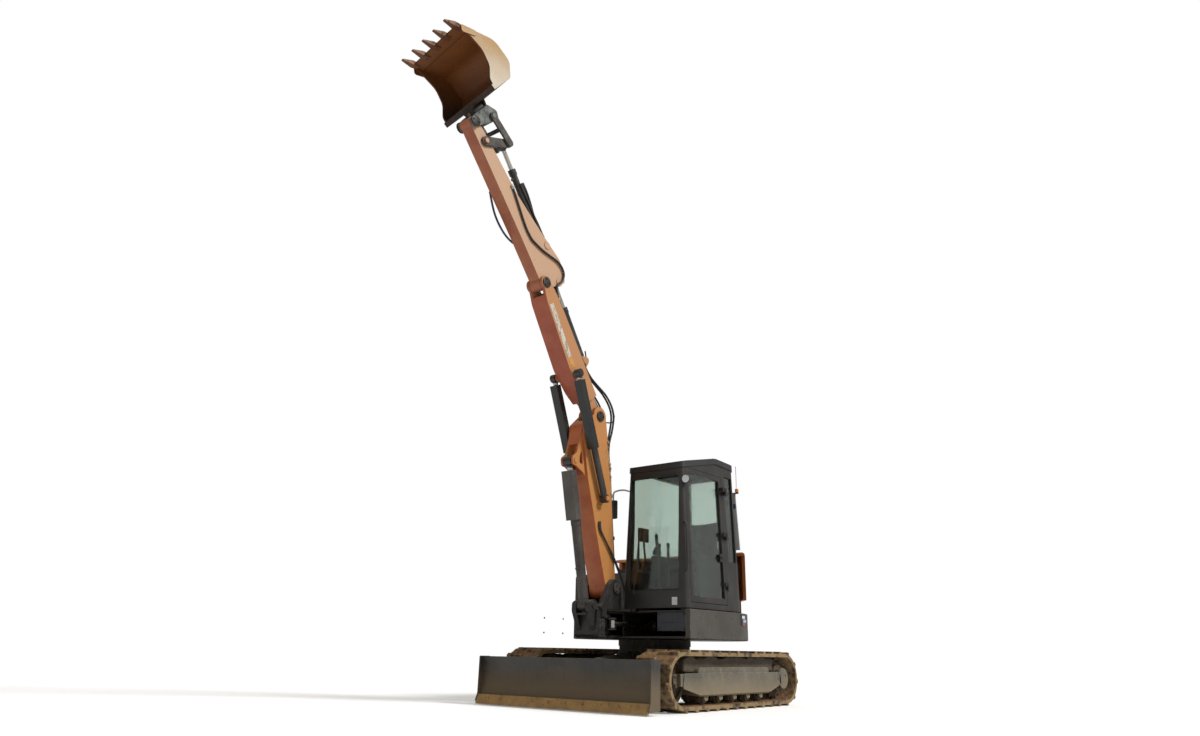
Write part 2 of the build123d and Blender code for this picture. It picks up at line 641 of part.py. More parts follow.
door_pin_r, knuckle_r, knuckle_height = 8, 14, 42
for z in (cab_floor_height + 230, cab_floor_height + 800, cab_floor_height + 1330):
    hx, hy = door_hinge
    skin = cab_left - cab_taper * (z - cab_floor_height) / cab_height - 12
    parts["cab_frame"] += (block(skin, hx, hy + running_gap + 2, hy + 60, z, z + knuckle_height)
                           + bar_z(knuckle_r, hx, hy, z, z + knuckle_height)
                           + bar_z(door_pin_r, hx, hy, z, z + 2 * knuckle_height))
    knuckle = (block(skin - 4, hx, hy - 55, hy - 10, z + knuckle_height + 1, z + 2 * knuckle_height)
               + bar_z(knuckle_r, hx, hy, z + knuckle_height + 1, z + 2 * knuckle_height))
    parts["cab_door"] += knuckle - bar_z(door_pin_r + pin_gap, hx, hy, z, z + 3 * knuckle_height)

# ---- inside the cab ----
floor_z = cab_floor_height + 60
seat_x, seat_y = cab_mid_x - 10, -60
parts["seat_base"] = block(seat_x - 210, seat_x + 210, seat_y - 230, seat_y + 250, floor_z, floor_z + 330)
cushion = block(seat_x - 245, seat_x + 245, seat_y - 260, seat_y + 240, floor_z + 330.3, floor_z + 430)
parts["seat_cushion"] = fillet(cushion.edges(), 25)
back_rows = [(seat_y + 150, floor_z + 430.4, 20), (seat_y + 265, floor_z + 430.4, 20),
             (seat_y + 345, floor_z + 1010, 40), (seat_y + 255, floor_z + 1010, 40)]
parts["seat_back"] = plate_x(back_rows, seat_x - 235, seat_x + 235)
parts["controls"] = Compound(children=[
    block(seat_x - 330, seat_x - 250, seat_y - 330, seat_y + 180, floor_z, floor_z + 560),
    block(seat_x + 250, seat_x + 300, seat_y - 300, seat_y + 180, floor_z, floor_z + 560),
    bar_z(16, seat_x - 60, -620, floor_z, floor_z + 620),
    bar_z(16, seat_x + 60, -620, floor_z, floor_z + 620)])

# ---- swing post ----
ear_in = boom_half_width + running_gap
ear_out = ear_in + 58
lug_top = deck_top + running_gap
post_front = -1312


def swing_post():
    """Casting that turns on the deck's nose and carries the boom foot and the lift cylinder."""
    hub = bar_z(swing_hub_r, 0, swing_axis_y, slew_face_height + lug_plate + running_gap,
                deck_top - lug_plate - running_gap)
    block_rows = [(swing_axis_y - 135, slew_face_height + 4, 0), (post_front, slew_face_height + 4, 40),
                  (post_front, lug_top + 15, 30), (swing_axis_y - 135, lug_top + 15, 0)]
    front = plate_x(block_rows, -160, 160)
    core = block(-95, 95, swing_axis_y - 200, swing_axis_y, slew_face_height + lug_plate + running_gap,
                 deck_top - lug_plate - running_gap)
    fy, fz = foot_pin
    ear = plate_x([(post_front + 3, lug_top + 5, 20), (fy + 96, lug_top + 5, 30), (fy + 96, fz + 20, 80),
                   (fy - 20, fz + 118, 80), (fy - 110, fz + 40, 60), (post_front + 70, lug_top + 60, 50)],
                  ear_in, ear_out)
    ay, az = lift_base_pin
    ram_ear = plate_x([(ay + 110, slew_face_height + 60, 0), (ay + 110, az, 60), (ay + 20, az + 66, 50),
                       (ay - 60, az + 30, 45), (ay - 62, az - 60, 45), (ay + 32, slew_face_height + 60, 0)],
                      66, 128)
    base = block(-ear_out, ear_out, post_front + 60, swing_axis_y - 135, lug_top - 80, lug_top + 30)
    lip = plate_z([(-110, post_front + 20, 0), (-70, post_front - 120, 30), (70, post_front - 120, 30),
                   (110, post_front + 20, 0)], az - 105, az - 85)
    arm_plates = [plate_z([(0, swing_axis_y - 100, 0), (swing_lug[0] + 20, swing_axis_y - 62, 40),
                           (swing_lug[0] + 58, swing_axis_y, 40), (swing_lug[0] + 10, swing_axis_y + 62, 40),
                           (0, swing_axis_y + 95, 0)], z0, z0 + 20)
                  for z0 in (swing_ram_z - 64, swing_ram_z + 44)]
    body = hub + front + core + base + lip + both_sides(ear) + both_sides(ram_ear)
    for piece in arm_plates:
        body += piece
    pocket = plate_x([(ay + 85, az - 75, 30), (ay + 85, az + 200, 0), (ay - 200, az + 200, 0),
                      (ay - 200, az - 75, 0)], -66, 66)
    body -= pocket
    body -= bar_z(45 + pin_gap, 0, swing_axis_y, 600, 1100)
    foot_clear = bar_x(150, -ear_in, ear_in, foot_pin)
    body -= foot_clear
    body += bar_x(42, -ear_out - 12, ear_out + 12, foot_pin) + bar_x(32, -138, 138, lift_base_pin)
    return body


parts["swing_post"] = swing_post()
swing_barrel, swing_rod = ram(swing_ram_base, swing_lug, 48, 26, 420, 40, 38, 25, 156,
                              z_vertical=swing_ram_z)
parts["swing_ram_barrel"] = swing_barrel
parts["swing_ram_rod"] = swing_rod

# ---- base boom ----
pivot_half = 64
foot_r = 112
fin_in, fin_out = 62, 88
fold_x = 182


def base_boom():
    """Lower boom: foot boss, tapered box, bracket for the lift cylinder, fork for the upper boom."""
    length = base_boom_length
    body = slab([(-30, -95, 60), (380, -170, 400), (1229, -299, 300), (1650, -325, 60), (1845, -290, 40),
                 (length + 20, -105, 60), (length + 90, 60, 60), (length - 60, 112, 80), (1240, 128, 400),
                 (370, 84, 300), (-40, 80, 60)], base_plane, boom_half_width)
    foot = bar_x(foot_r, -boom_half_width, boom_half_width, foot_pin)
    head = bar_x(112, -boom_half_width, boom_half_width, boom_pin)
    body += foot + head
    slot = slab([(length - 130, -150, 0), (length + 200, -400, 0),
                 (length + 300, 300, 0), (length - 130, 300, 0)], base_plane, pivot_half + running_gap)
    slot += bar_x(128, -pivot_half - running_gap, pivot_half + running_gap, boom_pin)
    sweep_cut = bar_x(128 + 60, -pivot_half - running_gap, pivot_half + running_gap, boom_pin)
    body -= slot
    body -= sweep_cut & slab([(length - 200, -400, 0), (length + 200, -400, 0), (length + 200, 60, 0),
                              (length - 60, 0, 0)], base_plane, 200)
    fin = slab([(1225, -285, 0), (1290, -345, 40), (1362, -455, 30), (1375, -512, 42), (1462, -512, 42),
                (1512, -430, 60), (1850, -285, 0)], base_plane, fin_out)
    fin -= slab([(1368, -340, 22), (1402, -396, 16), (1470, -384, 16), (1560, -340, 22)], base_plane, 100)
    fin -= slab([(1100, -318, 0), (1100, -700, 0), (1700, -700, 0), (1600, -326, 0)], base_plane, fin_in)
    body += fin + bar_x(30, -fin_out - 10, fin_out + 10, lift_top_pin)
    body -= bar_x(75, -fin_in, fin_in, lift_top_pin)
    pads = [bar_x(62, x0, x0 + 8, fold_base_pin) for x0 in (boom_half_width, -boom_half_width - 8)]
    pin = bar_x(30, -fold_x - 50, fold_x + 50, fold_base_pin)
    for piece in pads + [pin]:
        body += piece
    body -= bar_x(42 + pin_gap, -200, 200, foot_pin)
    body += bar_x(40, -boom_half_width - 12, boom_half_width + 12, boom_pin)
    return body


parts["base_boom"] = base_boom()
lift_barrel, lift_rod = ram(lift_base_pin, lift_top_pin, 54, 35, 930, 60, 56, 32, 456,
                             gland_rim=4, port_back=530)
parts["lift_ram_barrel"] = lift_barrel
parts["lift_ram_rod"] = lift_rod


def rod_guard(base, end, x, sides, reach, rod_r, back, thick=6):
    """Folded sheet that shields a rod: sides are its inner left and right faces and its inner front.
    It is held by an end plate behind the rod's eye and reaches back over the barrel."""
    plane, length = ram_plane(base, end, x)
    left, right, front = sides
    start, stop = length - reach[1], length - reach[0]
    outline = [(left, back, 0), (left, front, 0), (right, front, 0), (right, back, 0),
               (right + thick, back, 0), (right + thick, front - thick, thick),
               (left - thick, front - thick, thick), (left - thick, back, 0)]
    sheet = Pos(0, 0, start) * extrude(face_of(outline, Plane.XY), amount=stop - start, dir=(0, 0, 1))
    end_plate = Pos((left + right) / 2, (front + back) / 2, stop - 6) * Box(
        right - left + thick, back - front + thick, 12)
    end_plate -= Cylinder(rod_r + seat_gap, 4 * length)
    return plane * (sheet + end_plate)


lift_guard_half = 54 + 8 + 8
parts["lift_ram_guard"] = rod_guard(lift_base_pin, lift_top_pin, 0, (-lift_guard_half, lift_guard_half,
                                                                    -lift_guard_half), (105, 650), 35, 8)

# ---- upper boom ----
fork_half = arm_half_width + running_gap


def upper_boom():
    """Upper boom: narrow root on the fork pin, long box, fork for the arm, cylinder brackets."""
    length = upper_boom_length
    root = slab([(0, -90, 60), (200, -82, 0), (420, -155, 0), (420, 88, 0), (200, 82, 60), (0, 95, 60)],
                upper_plane, pivot_half)
    root += bar_x(108, -pivot_half, pivot_half, boom_pin)
    box = slab([(230, -95, 20), (400, -152, 200), (700, -190, 300), (1500, -108, 300), (1640, -62, 60),
                (length + 62, -40, 50), (length + 62, 45, 50), (length - 40, 80, 80), (1500, 100, 100),
                (1250, 105, 300), (230, 84, 20)], upper_plane, boom_half_width)
    box += bar_x(78, -boom_half_width, boom_half_width, arm_pin)
    slot = slab([(length - 118, -300, 0), (length + 300, -300, 0),
                 (length + 300, 400, 0), (length - 118, 400, 0)], upper_plane, fork_half)
    box -= slot
    ears = [slab([(545, 80, 0), (600, 225, 40), (640, 266, 40), (684, 225, 40), (765, 80, 0)],
                 Plane(origin=upper_plane.origin + Vector(x, 0, 0), x_dir=upper_plane.x_dir,
                       z_dir=upper_plane.z_dir), 11) for x in (-66, 66)]
    body = root + box
    for piece in ears:
        body += piece
    body += bar_x(30, -77, 77, arm_cylinder_base_pin)
    pads = [bar_x(58, x0, x0 + 6, fold_top_pin) for x0 in (boom_half_width, -boom_half_width - 6)]
    for piece in pads:
        body += piece
    body -= bar_x(40 + pin_gap, -200, 200, boom_pin)
    body += bar_x(38, -boom_half_width - 10, boom_half_width + 10, arm_pin)
    return body


parts["upper_boom"] = upper_boom()
fold_barrels, fold_rods, fold_guards = [], [], []
for sign in (-1, 1):
    b, r = ram(fold_base_pin, fold_top_pin, 38, 25, 940, 48, 34, 30, 366, x=sign * fold_x, gland_rim=5,
               port_turn=-90)
    fold_barrels.append(b)
    fold_rods.append(r + bar_x(30 + pin_gap, sign * fold_x - 38, sign * fold_x + 38, fold_top_pin))
    inner, outer = sorted((sign * -46, sign * 48))
    fold_guards.append(rod_guard(fold_base_pin, fold_top_pin, sign * fold_x, (inner, outer, -50),
                                 (80, 870), 25, 25, 4))
parts["fold_ram_barrels"] = Compound(children=fold_barrels)
parts["fold_ram_rods"] = Compound(children=fold_rods)
parts["fold_ram_guards"] = Compound(children=fold_guards)
arm_barrel, arm_rod = ram(arm_cylinder_base_pin, arm_horn_pin, 46, 30, 670, 46, 42, 30, 5, gland_rim=6)
parts["arm_ram_barrel"] = arm_barrel
parts["arm_ram_rod"] = arm_rod

# ---- arm ----
rocker_in = arm_half_width + running_gap
rocker_plate = 24
link_in = rocker_in + rocker_plate + running_gap
coupler_out = link_in - running_gap


def arm():
    """Arm: pivot boss, horn with two cylinder pins, tapering box, rocker and bucket bosses."""
    length = arm_length
    body = slab([(-60, -30, 30), (-80, 90, 60), (-126, 250, 60), (-128, 365, 50), (-40, 420, 80),
                 (130, 448, 90), (560, 322, 300), (1020, 205, 400), (1560, 138, 300), (1850, 95, 60),
                 (length + 55, 45, 45), (length + 55, -40, 45), (1840, -52, 100), (600, -35, 300),
                 (70, -40, 100)], arm_plane, arm_half_width)
    body += bar_x(76, -arm_half_width, arm_half_width, arm_pin)
    body += bar_x(62, -arm_half_width, arm_half_width, bucket_pin)
    slot = slab([(-300, 60, 0), (-300, 600, 0), (1050, 600, 0), (1050, 165, 0), (620, 215, 60),
                 (200, 190, 60), (-46, 160, 60), (-72, 60, 0)], arm_plane, 48)
    body -= slot
    body += bar_x(30, -arm_half_width, arm_half_width, bucket_cylinder_base_pin)
    body -= bar_x(38 + pin_gap, -100, 100, arm_pin)
    body += bar_x(30, -coupler_out - 14, coupler_out + 14, bucket_pin)
    body += bar_x(28, -125, 125, rocker_pin)
    for pin in (arm_horn_pin, bucket_cylinder_base_pin):
        body += both_sides(bar_x(46, arm_half_width, arm_half_width + 7, pin))
    return body


parts["arm"] = arm()
bucket_barrel, bucket_rod = ram(bucket_cylinder_base_pin, rocker_end_pin, 38, 24, 940, 44, 36, 30, 190,
                                collar_height=20)
parts["bucket_ram_barrel"] = bucket_barrel
parts["bucket_ram_rod"] = bucket_rod

# ---- rocker, link, coupler ----


def strap(a, b, x0, x1, r_a, r_b):
    """Flat bar with round ends between two pins."""
    angle = atan2(b[1] - a[1], b[0] - a[0])
    length = hypot(b[0] - a[0], b[1] - a[1])
    plane = Plane((x0, *a), x_dir=(0, cos(angle), sin(angle)), z_dir=(1, 0, 0))
    shape = make_hull(Circle(r_a).edges() + (Pos(length, 0) * Circle(r_b)).edges())
    return extrude(plane * shape, amount=x1 - x0, dir=(1, 0, 0))


def rocker():
    """Two plates outside the arm, joined by a tube behind the cylinder's eye."""
    plate = strap(rocker_pin, rocker_end_pin, rocker_in, rocker_in + rocker_plate, 52, 46)
    plate -= bar_x(28 + pin_gap, 0, 200, rocker_pin)
    mid = ((rocker_pin[0] + rocker_end_pin[0]) / 2, (rocker_pin[1] + rocker_end_pin[1]) / 2)
    t = 0.62
    tube_at = tuple(rocker_pin[i] + t * (rocker_end_pin[i] - rocker_pin[i]) for i in (0, 1))
    tube = bar_x(22, -rocker_in, rocker_in, tube_at)
    return both_sides(plate) + tube


parts["bucket_rocker"] = rocker()


def bucket_link():
    """Two straps outside the rocker with a cross tube between them."""
    plate = strap(coupler_link_pin, rocker_end_pin, link_in, link_in + 22, 46, 44)
    plate -= bar_x(28 + pin_gap, 0, 200, coupler_link_pin)
    t = 0.47
    tube_at = tuple(coupler_link_pin[i] + t * (rocker_end_pin[i] - coupler_link_pin[i]) for i in (0, 1))
    return both_sides(plate) + bar_x(24, -link_in, link_in, tube_at)


parts["bucket_link"] = bucket_link()
coupler_in = arm_half_width + running_gap


tilt_u, tilt_v = 70, 200       # middle of the tilt hinge, in the bucket's plane
tilt_dir = bucket_plane.y_dir
tilt_origin = bucket_plane.from_local_coords(Vector(tilt_u, tilt_v, 0))
tilt_axis = Axis(tilt_origin, tilt_dir)
tilt_span = (-68, 150)         # length of the coupler's knuckle along the axis
tilt_lug = 26
tilt_pin_r = 22


def tilt_bar(radius, v0, v1):
    """Round bar on the tilt axis, from v0 to v1 measured from its middle."""
    plane = Plane(origin=tilt_origin + tilt_dir * v0, x_dir=(1, 0, 0), z_dir=tilt_dir)
    return plane * Cylinder(radius, v1 - v0, align=(Align.CENTER, Align.CENTER, Align.MIN))


def coupler():
    """Tilt coupler's upper half: two cheeks round the arm tip and link pin, block, knuckle and pin."""
    cheek = slab([(-40, -62, 40), (52, -50, 45), (62, 90, 25), (62, 330, 30), (-52, 425, 40),
                  (-140, 380, 50),
                  (-110, 200, 90)], bucket_plane, coupler_out)
    cheek -= slab([(-300, -300, 0), (300, -300, 0), (300, 128, 0), (-20, 170, 60), (-60, 260, 60),
                   (-300, 300, 0)], bucket_plane, coupler_in)
    for v0, v1 in ((-320, tilt_span[0]), (tilt_span[1], 320)):
        cheek -= tilt_bar(74, v0, v1)
    body = cheek + tilt_bar(42, *tilt_span) + tilt_bar(
        tilt_pin_r, tilt_span[0] - tilt_lug - 14, tilt_span[1] + tilt_lug + 14)
    body -= bar_x(30 + pin_gap, -200, 200, bucket_pin)
    return body + bar_x(28, -link_in - 30, link_in + 30, coupler_link_pin)


parts["quick_coupler"] = coupler()

# ---- bucket ----
bucket_half = bucket_width / 2
shell, side_plate, lip_plate, wear_plate = 14, 16, 24, 10
root_u, lip, lip_back = 114, (866, 335), (530, 690)
shell_rows = [(*lip, 0), (*lip_back, 180), (262, 690, 120), (root_u, 520, 90), (root_u, 200, 0)]
mouth_rows = [(230, 212, 80), (345, 350, 160), (520, 412, 220), (700, 382, 300)]


def lip_point(reach, rise, radius=0):
    """Row at this reach beyond the lip along its slope, and this far outside it."""
    du, dv = lip[0] - lip_back[0], lip[1] - lip_back[1]
    k = hypot(du, dv)
    return lip[0] + (du * reach - dv * rise) / k, lip[1] + (dv * reach + du * rise) / k, radius


def bucket():
    """Welded bucket: rolled shell, scooped side plates, lip plate, wear plates and the hinge lugs."""
    outer = slab(shell_rows + [(root_u + 60, 200, 0)] + mouth_rows, bucket_plane, bucket_half)
    hollow_rows = [(*lip_point(60, -shell)[:2], 0), (lip_back[0] - 6, lip_back[1] - shell, 168),
                   (262 + 4, 690 - shell, 108), (root_u + shell, 516, 78),
                   (root_u + shell, 120, 0), (900, 120, 0)]
    inner = slab(hollow_rows, bucket_plane, bucket_half - side_plate)
    root = slab([(root_u, 170, 0), (root_u + 60, 170, 20), (root_u + 60, 200, 0), (root_u + shell, 260, 0),
                 (root_u, 260, 0)], bucket_plane, bucket_half)
    lip_bar = slab([lip_point(0, -shell), lip_point(0, -lip_plate), lip_point(-130, -lip_plate),
                    lip_point(-150, -shell)], bucket_plane, bucket_half - side_plate)
    clamp = slab([(root_u, 96, 0), (root_u + 18, 96, 8), (root_u + 18, 400, 0), (root_u, 400, 0)],
                 bucket_plane, 112)
    body = outer - inner + root + lip_bar + clamp
    for x in (-bucket_half + 2, bucket_half + wear_plate):
        plane = Plane(origin=bucket_plane.origin + Vector(x, 0, 0), x_dir=bucket_plane.x_dir,
                      z_dir=bucket_plane.z_dir)
        rows = [lip_point(-30, -4, 20), lip_point(-30, -95, 30), lip_point(-230, -75, 40),
                lip_point(-230, -4, 20)]
        body += extrude(face_of(rows, plane), amount=wear_plate + 2, dir=(-1, 0, 0))
    for v0 in (tilt_span[0] - 4 - tilt_lug, tilt_span[1] + 4):
        plane = Plane(origin=tilt_origin + tilt_dir * v0, x_dir=(1, 0, 0), z_dir=tilt_dir)
        reach = tilt_u - root_u
        lug = extrude(face_of([(-78, reach, 0), (-46, 46, 44), (46, 46, 44), (78, reach, 0)], plane),
                      amount=tilt_lug, dir=tilt_dir)
        body += lug - tilt_bar(tilt_pin_r + pin_gap, v0 - 5, v0 + tilt_lug + 5)
    return body


def tooth(x):
    """Forked tooth that straps over the lip and tapers to its point."""
    plane = Plane(origin=bucket_plane.origin + Vector(x, 0, 0), x_dir=bucket_plane.x_dir,
                  z_dir=bucket_plane.z_dir)
    side = slab([lip_point(-72, 9, 4), lip_point(28, 15, 30), lip_point(155, -4, 4), lip_point(155, -15, 4),
                 lip_point(34, -40, 30), lip_point(-60, -34, 4)], plane, 34)
    start = plane.from_local_coords(Vector(*lip, 0))
    ahead = plane.from_local_coords(Vector(*lip_point(100, 0)[:2], 0))
    along_tooth = (ahead - start).normalized()
    flat = Plane(origin=start, x_dir=(1, 0, 0), z_dir=Vector(1, 0, 0).cross(along_tooth))
    taper = extrude(face_of([(-32, -90, 0), (-32, 26, 20), (-13, 158, 6), (13, 158, 6), (32, 26, 20),
                             (32, -90, 0)], flat), amount=80, both=True)
    return side & taper


tooth_pitch = (bucket_width - 84) / 4
level_bucket = bucket()
teeth = [tooth((i - 2) * tooth_pitch) - level_bucket for i in range(5)]
parts["bucket"] = level_bucket.rotate(tilt_axis, bucket_tilt)
parts["bucket_teeth"] = Compound(children=[piece.rotate(tilt_axis, bucket_tilt) for piece in teeth])

for name, shape in parts.items():
    export_step(shape, f"parts/{name}.step")
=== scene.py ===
import json
import math
import random

import bpy
from mathutils import Matrix, Vector, noise


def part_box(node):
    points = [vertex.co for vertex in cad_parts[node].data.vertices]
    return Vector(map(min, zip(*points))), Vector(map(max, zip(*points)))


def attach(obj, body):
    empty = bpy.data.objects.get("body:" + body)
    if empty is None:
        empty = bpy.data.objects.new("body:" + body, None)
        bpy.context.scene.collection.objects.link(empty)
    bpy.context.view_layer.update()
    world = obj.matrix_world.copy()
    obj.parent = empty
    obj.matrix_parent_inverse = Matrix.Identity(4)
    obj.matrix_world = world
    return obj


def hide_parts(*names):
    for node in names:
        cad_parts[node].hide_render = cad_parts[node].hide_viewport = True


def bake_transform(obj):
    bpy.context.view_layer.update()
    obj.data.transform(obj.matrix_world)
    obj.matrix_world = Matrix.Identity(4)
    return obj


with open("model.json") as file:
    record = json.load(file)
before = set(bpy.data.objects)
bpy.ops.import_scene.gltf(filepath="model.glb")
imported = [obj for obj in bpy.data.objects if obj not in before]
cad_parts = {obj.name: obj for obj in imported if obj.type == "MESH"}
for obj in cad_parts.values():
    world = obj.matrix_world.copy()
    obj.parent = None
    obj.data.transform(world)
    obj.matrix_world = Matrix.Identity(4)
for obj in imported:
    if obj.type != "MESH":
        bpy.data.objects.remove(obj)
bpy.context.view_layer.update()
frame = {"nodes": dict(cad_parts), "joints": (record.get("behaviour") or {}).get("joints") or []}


# ---- camera ----
# A wide lens close to the ground, well ahead of the machine and to its left, tilted up at the boom;
# the matrix is written from the camera's own right, up and back directions.
yaw, pitch, roll = math.radians(-38.518), math.radians(18.424), math.radians(1.001)
ahead = Vector((math.sin(yaw) * math.cos(pitch), math.cos(yaw) * math.cos(pitch), math.sin(pitch)))
level = Vector((math.cos(yaw), -math.sin(yaw), 0))
upward = level.cross(ahead)
right = level * math.cos(roll) + upward * math.sin(roll)
upright = upward * math.cos(roll) - level * math.sin(roll)
camera = bpy.data.objects.new("camera", bpy.data.cameras.new("camera"))
bpy.context.scene.collection.objects.link(camera)
camera.data.lens, camera.data.sensor_width = 25.51, 36
camera.matrix_world = Matrix((
    (right.x, upright.x, -ahead.x, 6.0922), (right.y, upright.y, -ahead.y, -8.7924),
    (right.z, upright.z, -ahead.z, 0.5753), (0, 0, 0, 1)))
bpy.context.scene.camera = camera
bpy.context.scene.view_settings.view_transform = "Standard"


# ---- ground and light ----
# A plain pale floor under a white sky, with one broad sun from the machine's left and an even fill.
# The sky is white to the camera and through glass, and dimmer as a light on the machine.
def linear(colour):
    """Shader colour of an sRGB hex value."""
    parts = [int(colour[i:i + 2], 16) / 255 for i in (1, 3, 5)]
    return (*[p / 12.92 if p <= 0.04045 else ((p + 0.055) / 1.055) ** 2.4 for p in parts], 1)


def add(tree, kind, links=(), **settings):
    """New shader node; links gives its inputs, each a value or another node's output."""
    made = tree.nodes.new("ShaderNode" + kind)
    for key, value in settings.items():
        setattr(made, key, value)
    for socket, value in dict(links).items():
        if isinstance(value, bpy.types.NodeSocket):
            tree.links.new(value, made.inputs[socket])
        else:
            made.inputs[socket].default_value = value
    return made


world = bpy.data.worlds.new("sky")
bpy.context.scene.world = world
world.use_nodes = True
sky = world.node_tree
sky.nodes.clear()
ray = add(sky, "LightPath")
seen = add(sky, "Math", {0: ray.outputs["Is Camera Ray"], 1: ray.outputs["Is Transmission Ray"]},
           operation="MAXIMUM")
fill = add(sky, "Background", {"Color": linear("#f2efe9"), "Strength": 0.5})
white = add(sky, "Background", {"Color": (1, 1, 1, 1), "Strength": 1.0})
blend = add(sky, "MixShader", {0: seen.outputs[0], 1: fill.outputs[0], 2: white.outputs[0]})
add(sky, "OutputWorld", {"Surface": blend.outputs[0]})

sun = bpy.data.objects.new("sun", bpy.data.lights.new("sun", "SUN"))
bpy.context.scene.collection.objects.link(sun)
sun.data.energy, sun.data.angle = 2.7, math.radians(14)
sun.rotation_euler = Vector((1.0, 0.22, 0.85)).to_track_quat("Z", "Y").to_euler()

bpy.ops.mesh.primitive_plane_add(size=60)
floor = bpy.context.object
floor.name = "floor"
ground = bpy.data.materials.new("pale floor")
ground.use_nodes = True
tree = ground.node_tree
shader = tree.nodes["Principled BSDF"]
shader.inputs["Base Color"].default_value = linear("#f2f2f2")
shader.inputs["Roughness"].default_value = 0.95
ray = add(tree, "LightPath")
glow = add(tree, "Emission", {"Color": (1, 1, 1, 1), "Strength": 0.22})
lit = add(tree, "AddShader", {0: shader.outputs[0], 1: glow.outputs[0]})
seen = add(tree, "MixShader", {0: ray.outputs["Is Camera Ray"], 1: shader.outputs[0], 2: lit.outputs[0]})
tree.links.new(seen.outputs[0], tree.nodes["Material Output"].inputs["Surface"])
floor.data.materials.append(ground)


# ---- booms and arm ----
# Two booms and an arm, each a welded box of steel plate turning on greased pins. Their orange machine
# enamel is sprayed on; the sides are painted pale tan, part sunlight and part chalking, and the rest is
# painted the deep red-brown that the belly shows in shade.
pin = {joint["name"]: Vector(joint["pos_m"]) for joint in frame["joints"] if joint.get("pos_m")}


def blank(name):
    """New material with its node tree, its shader and a texture coordinate node."""
    material = bpy.data.materials.new(name)
    material.use_nodes = True
    tree = material.node_tree
    return material, tree, tree.nodes["Principled BSDF"], add(tree, "TexCoord")


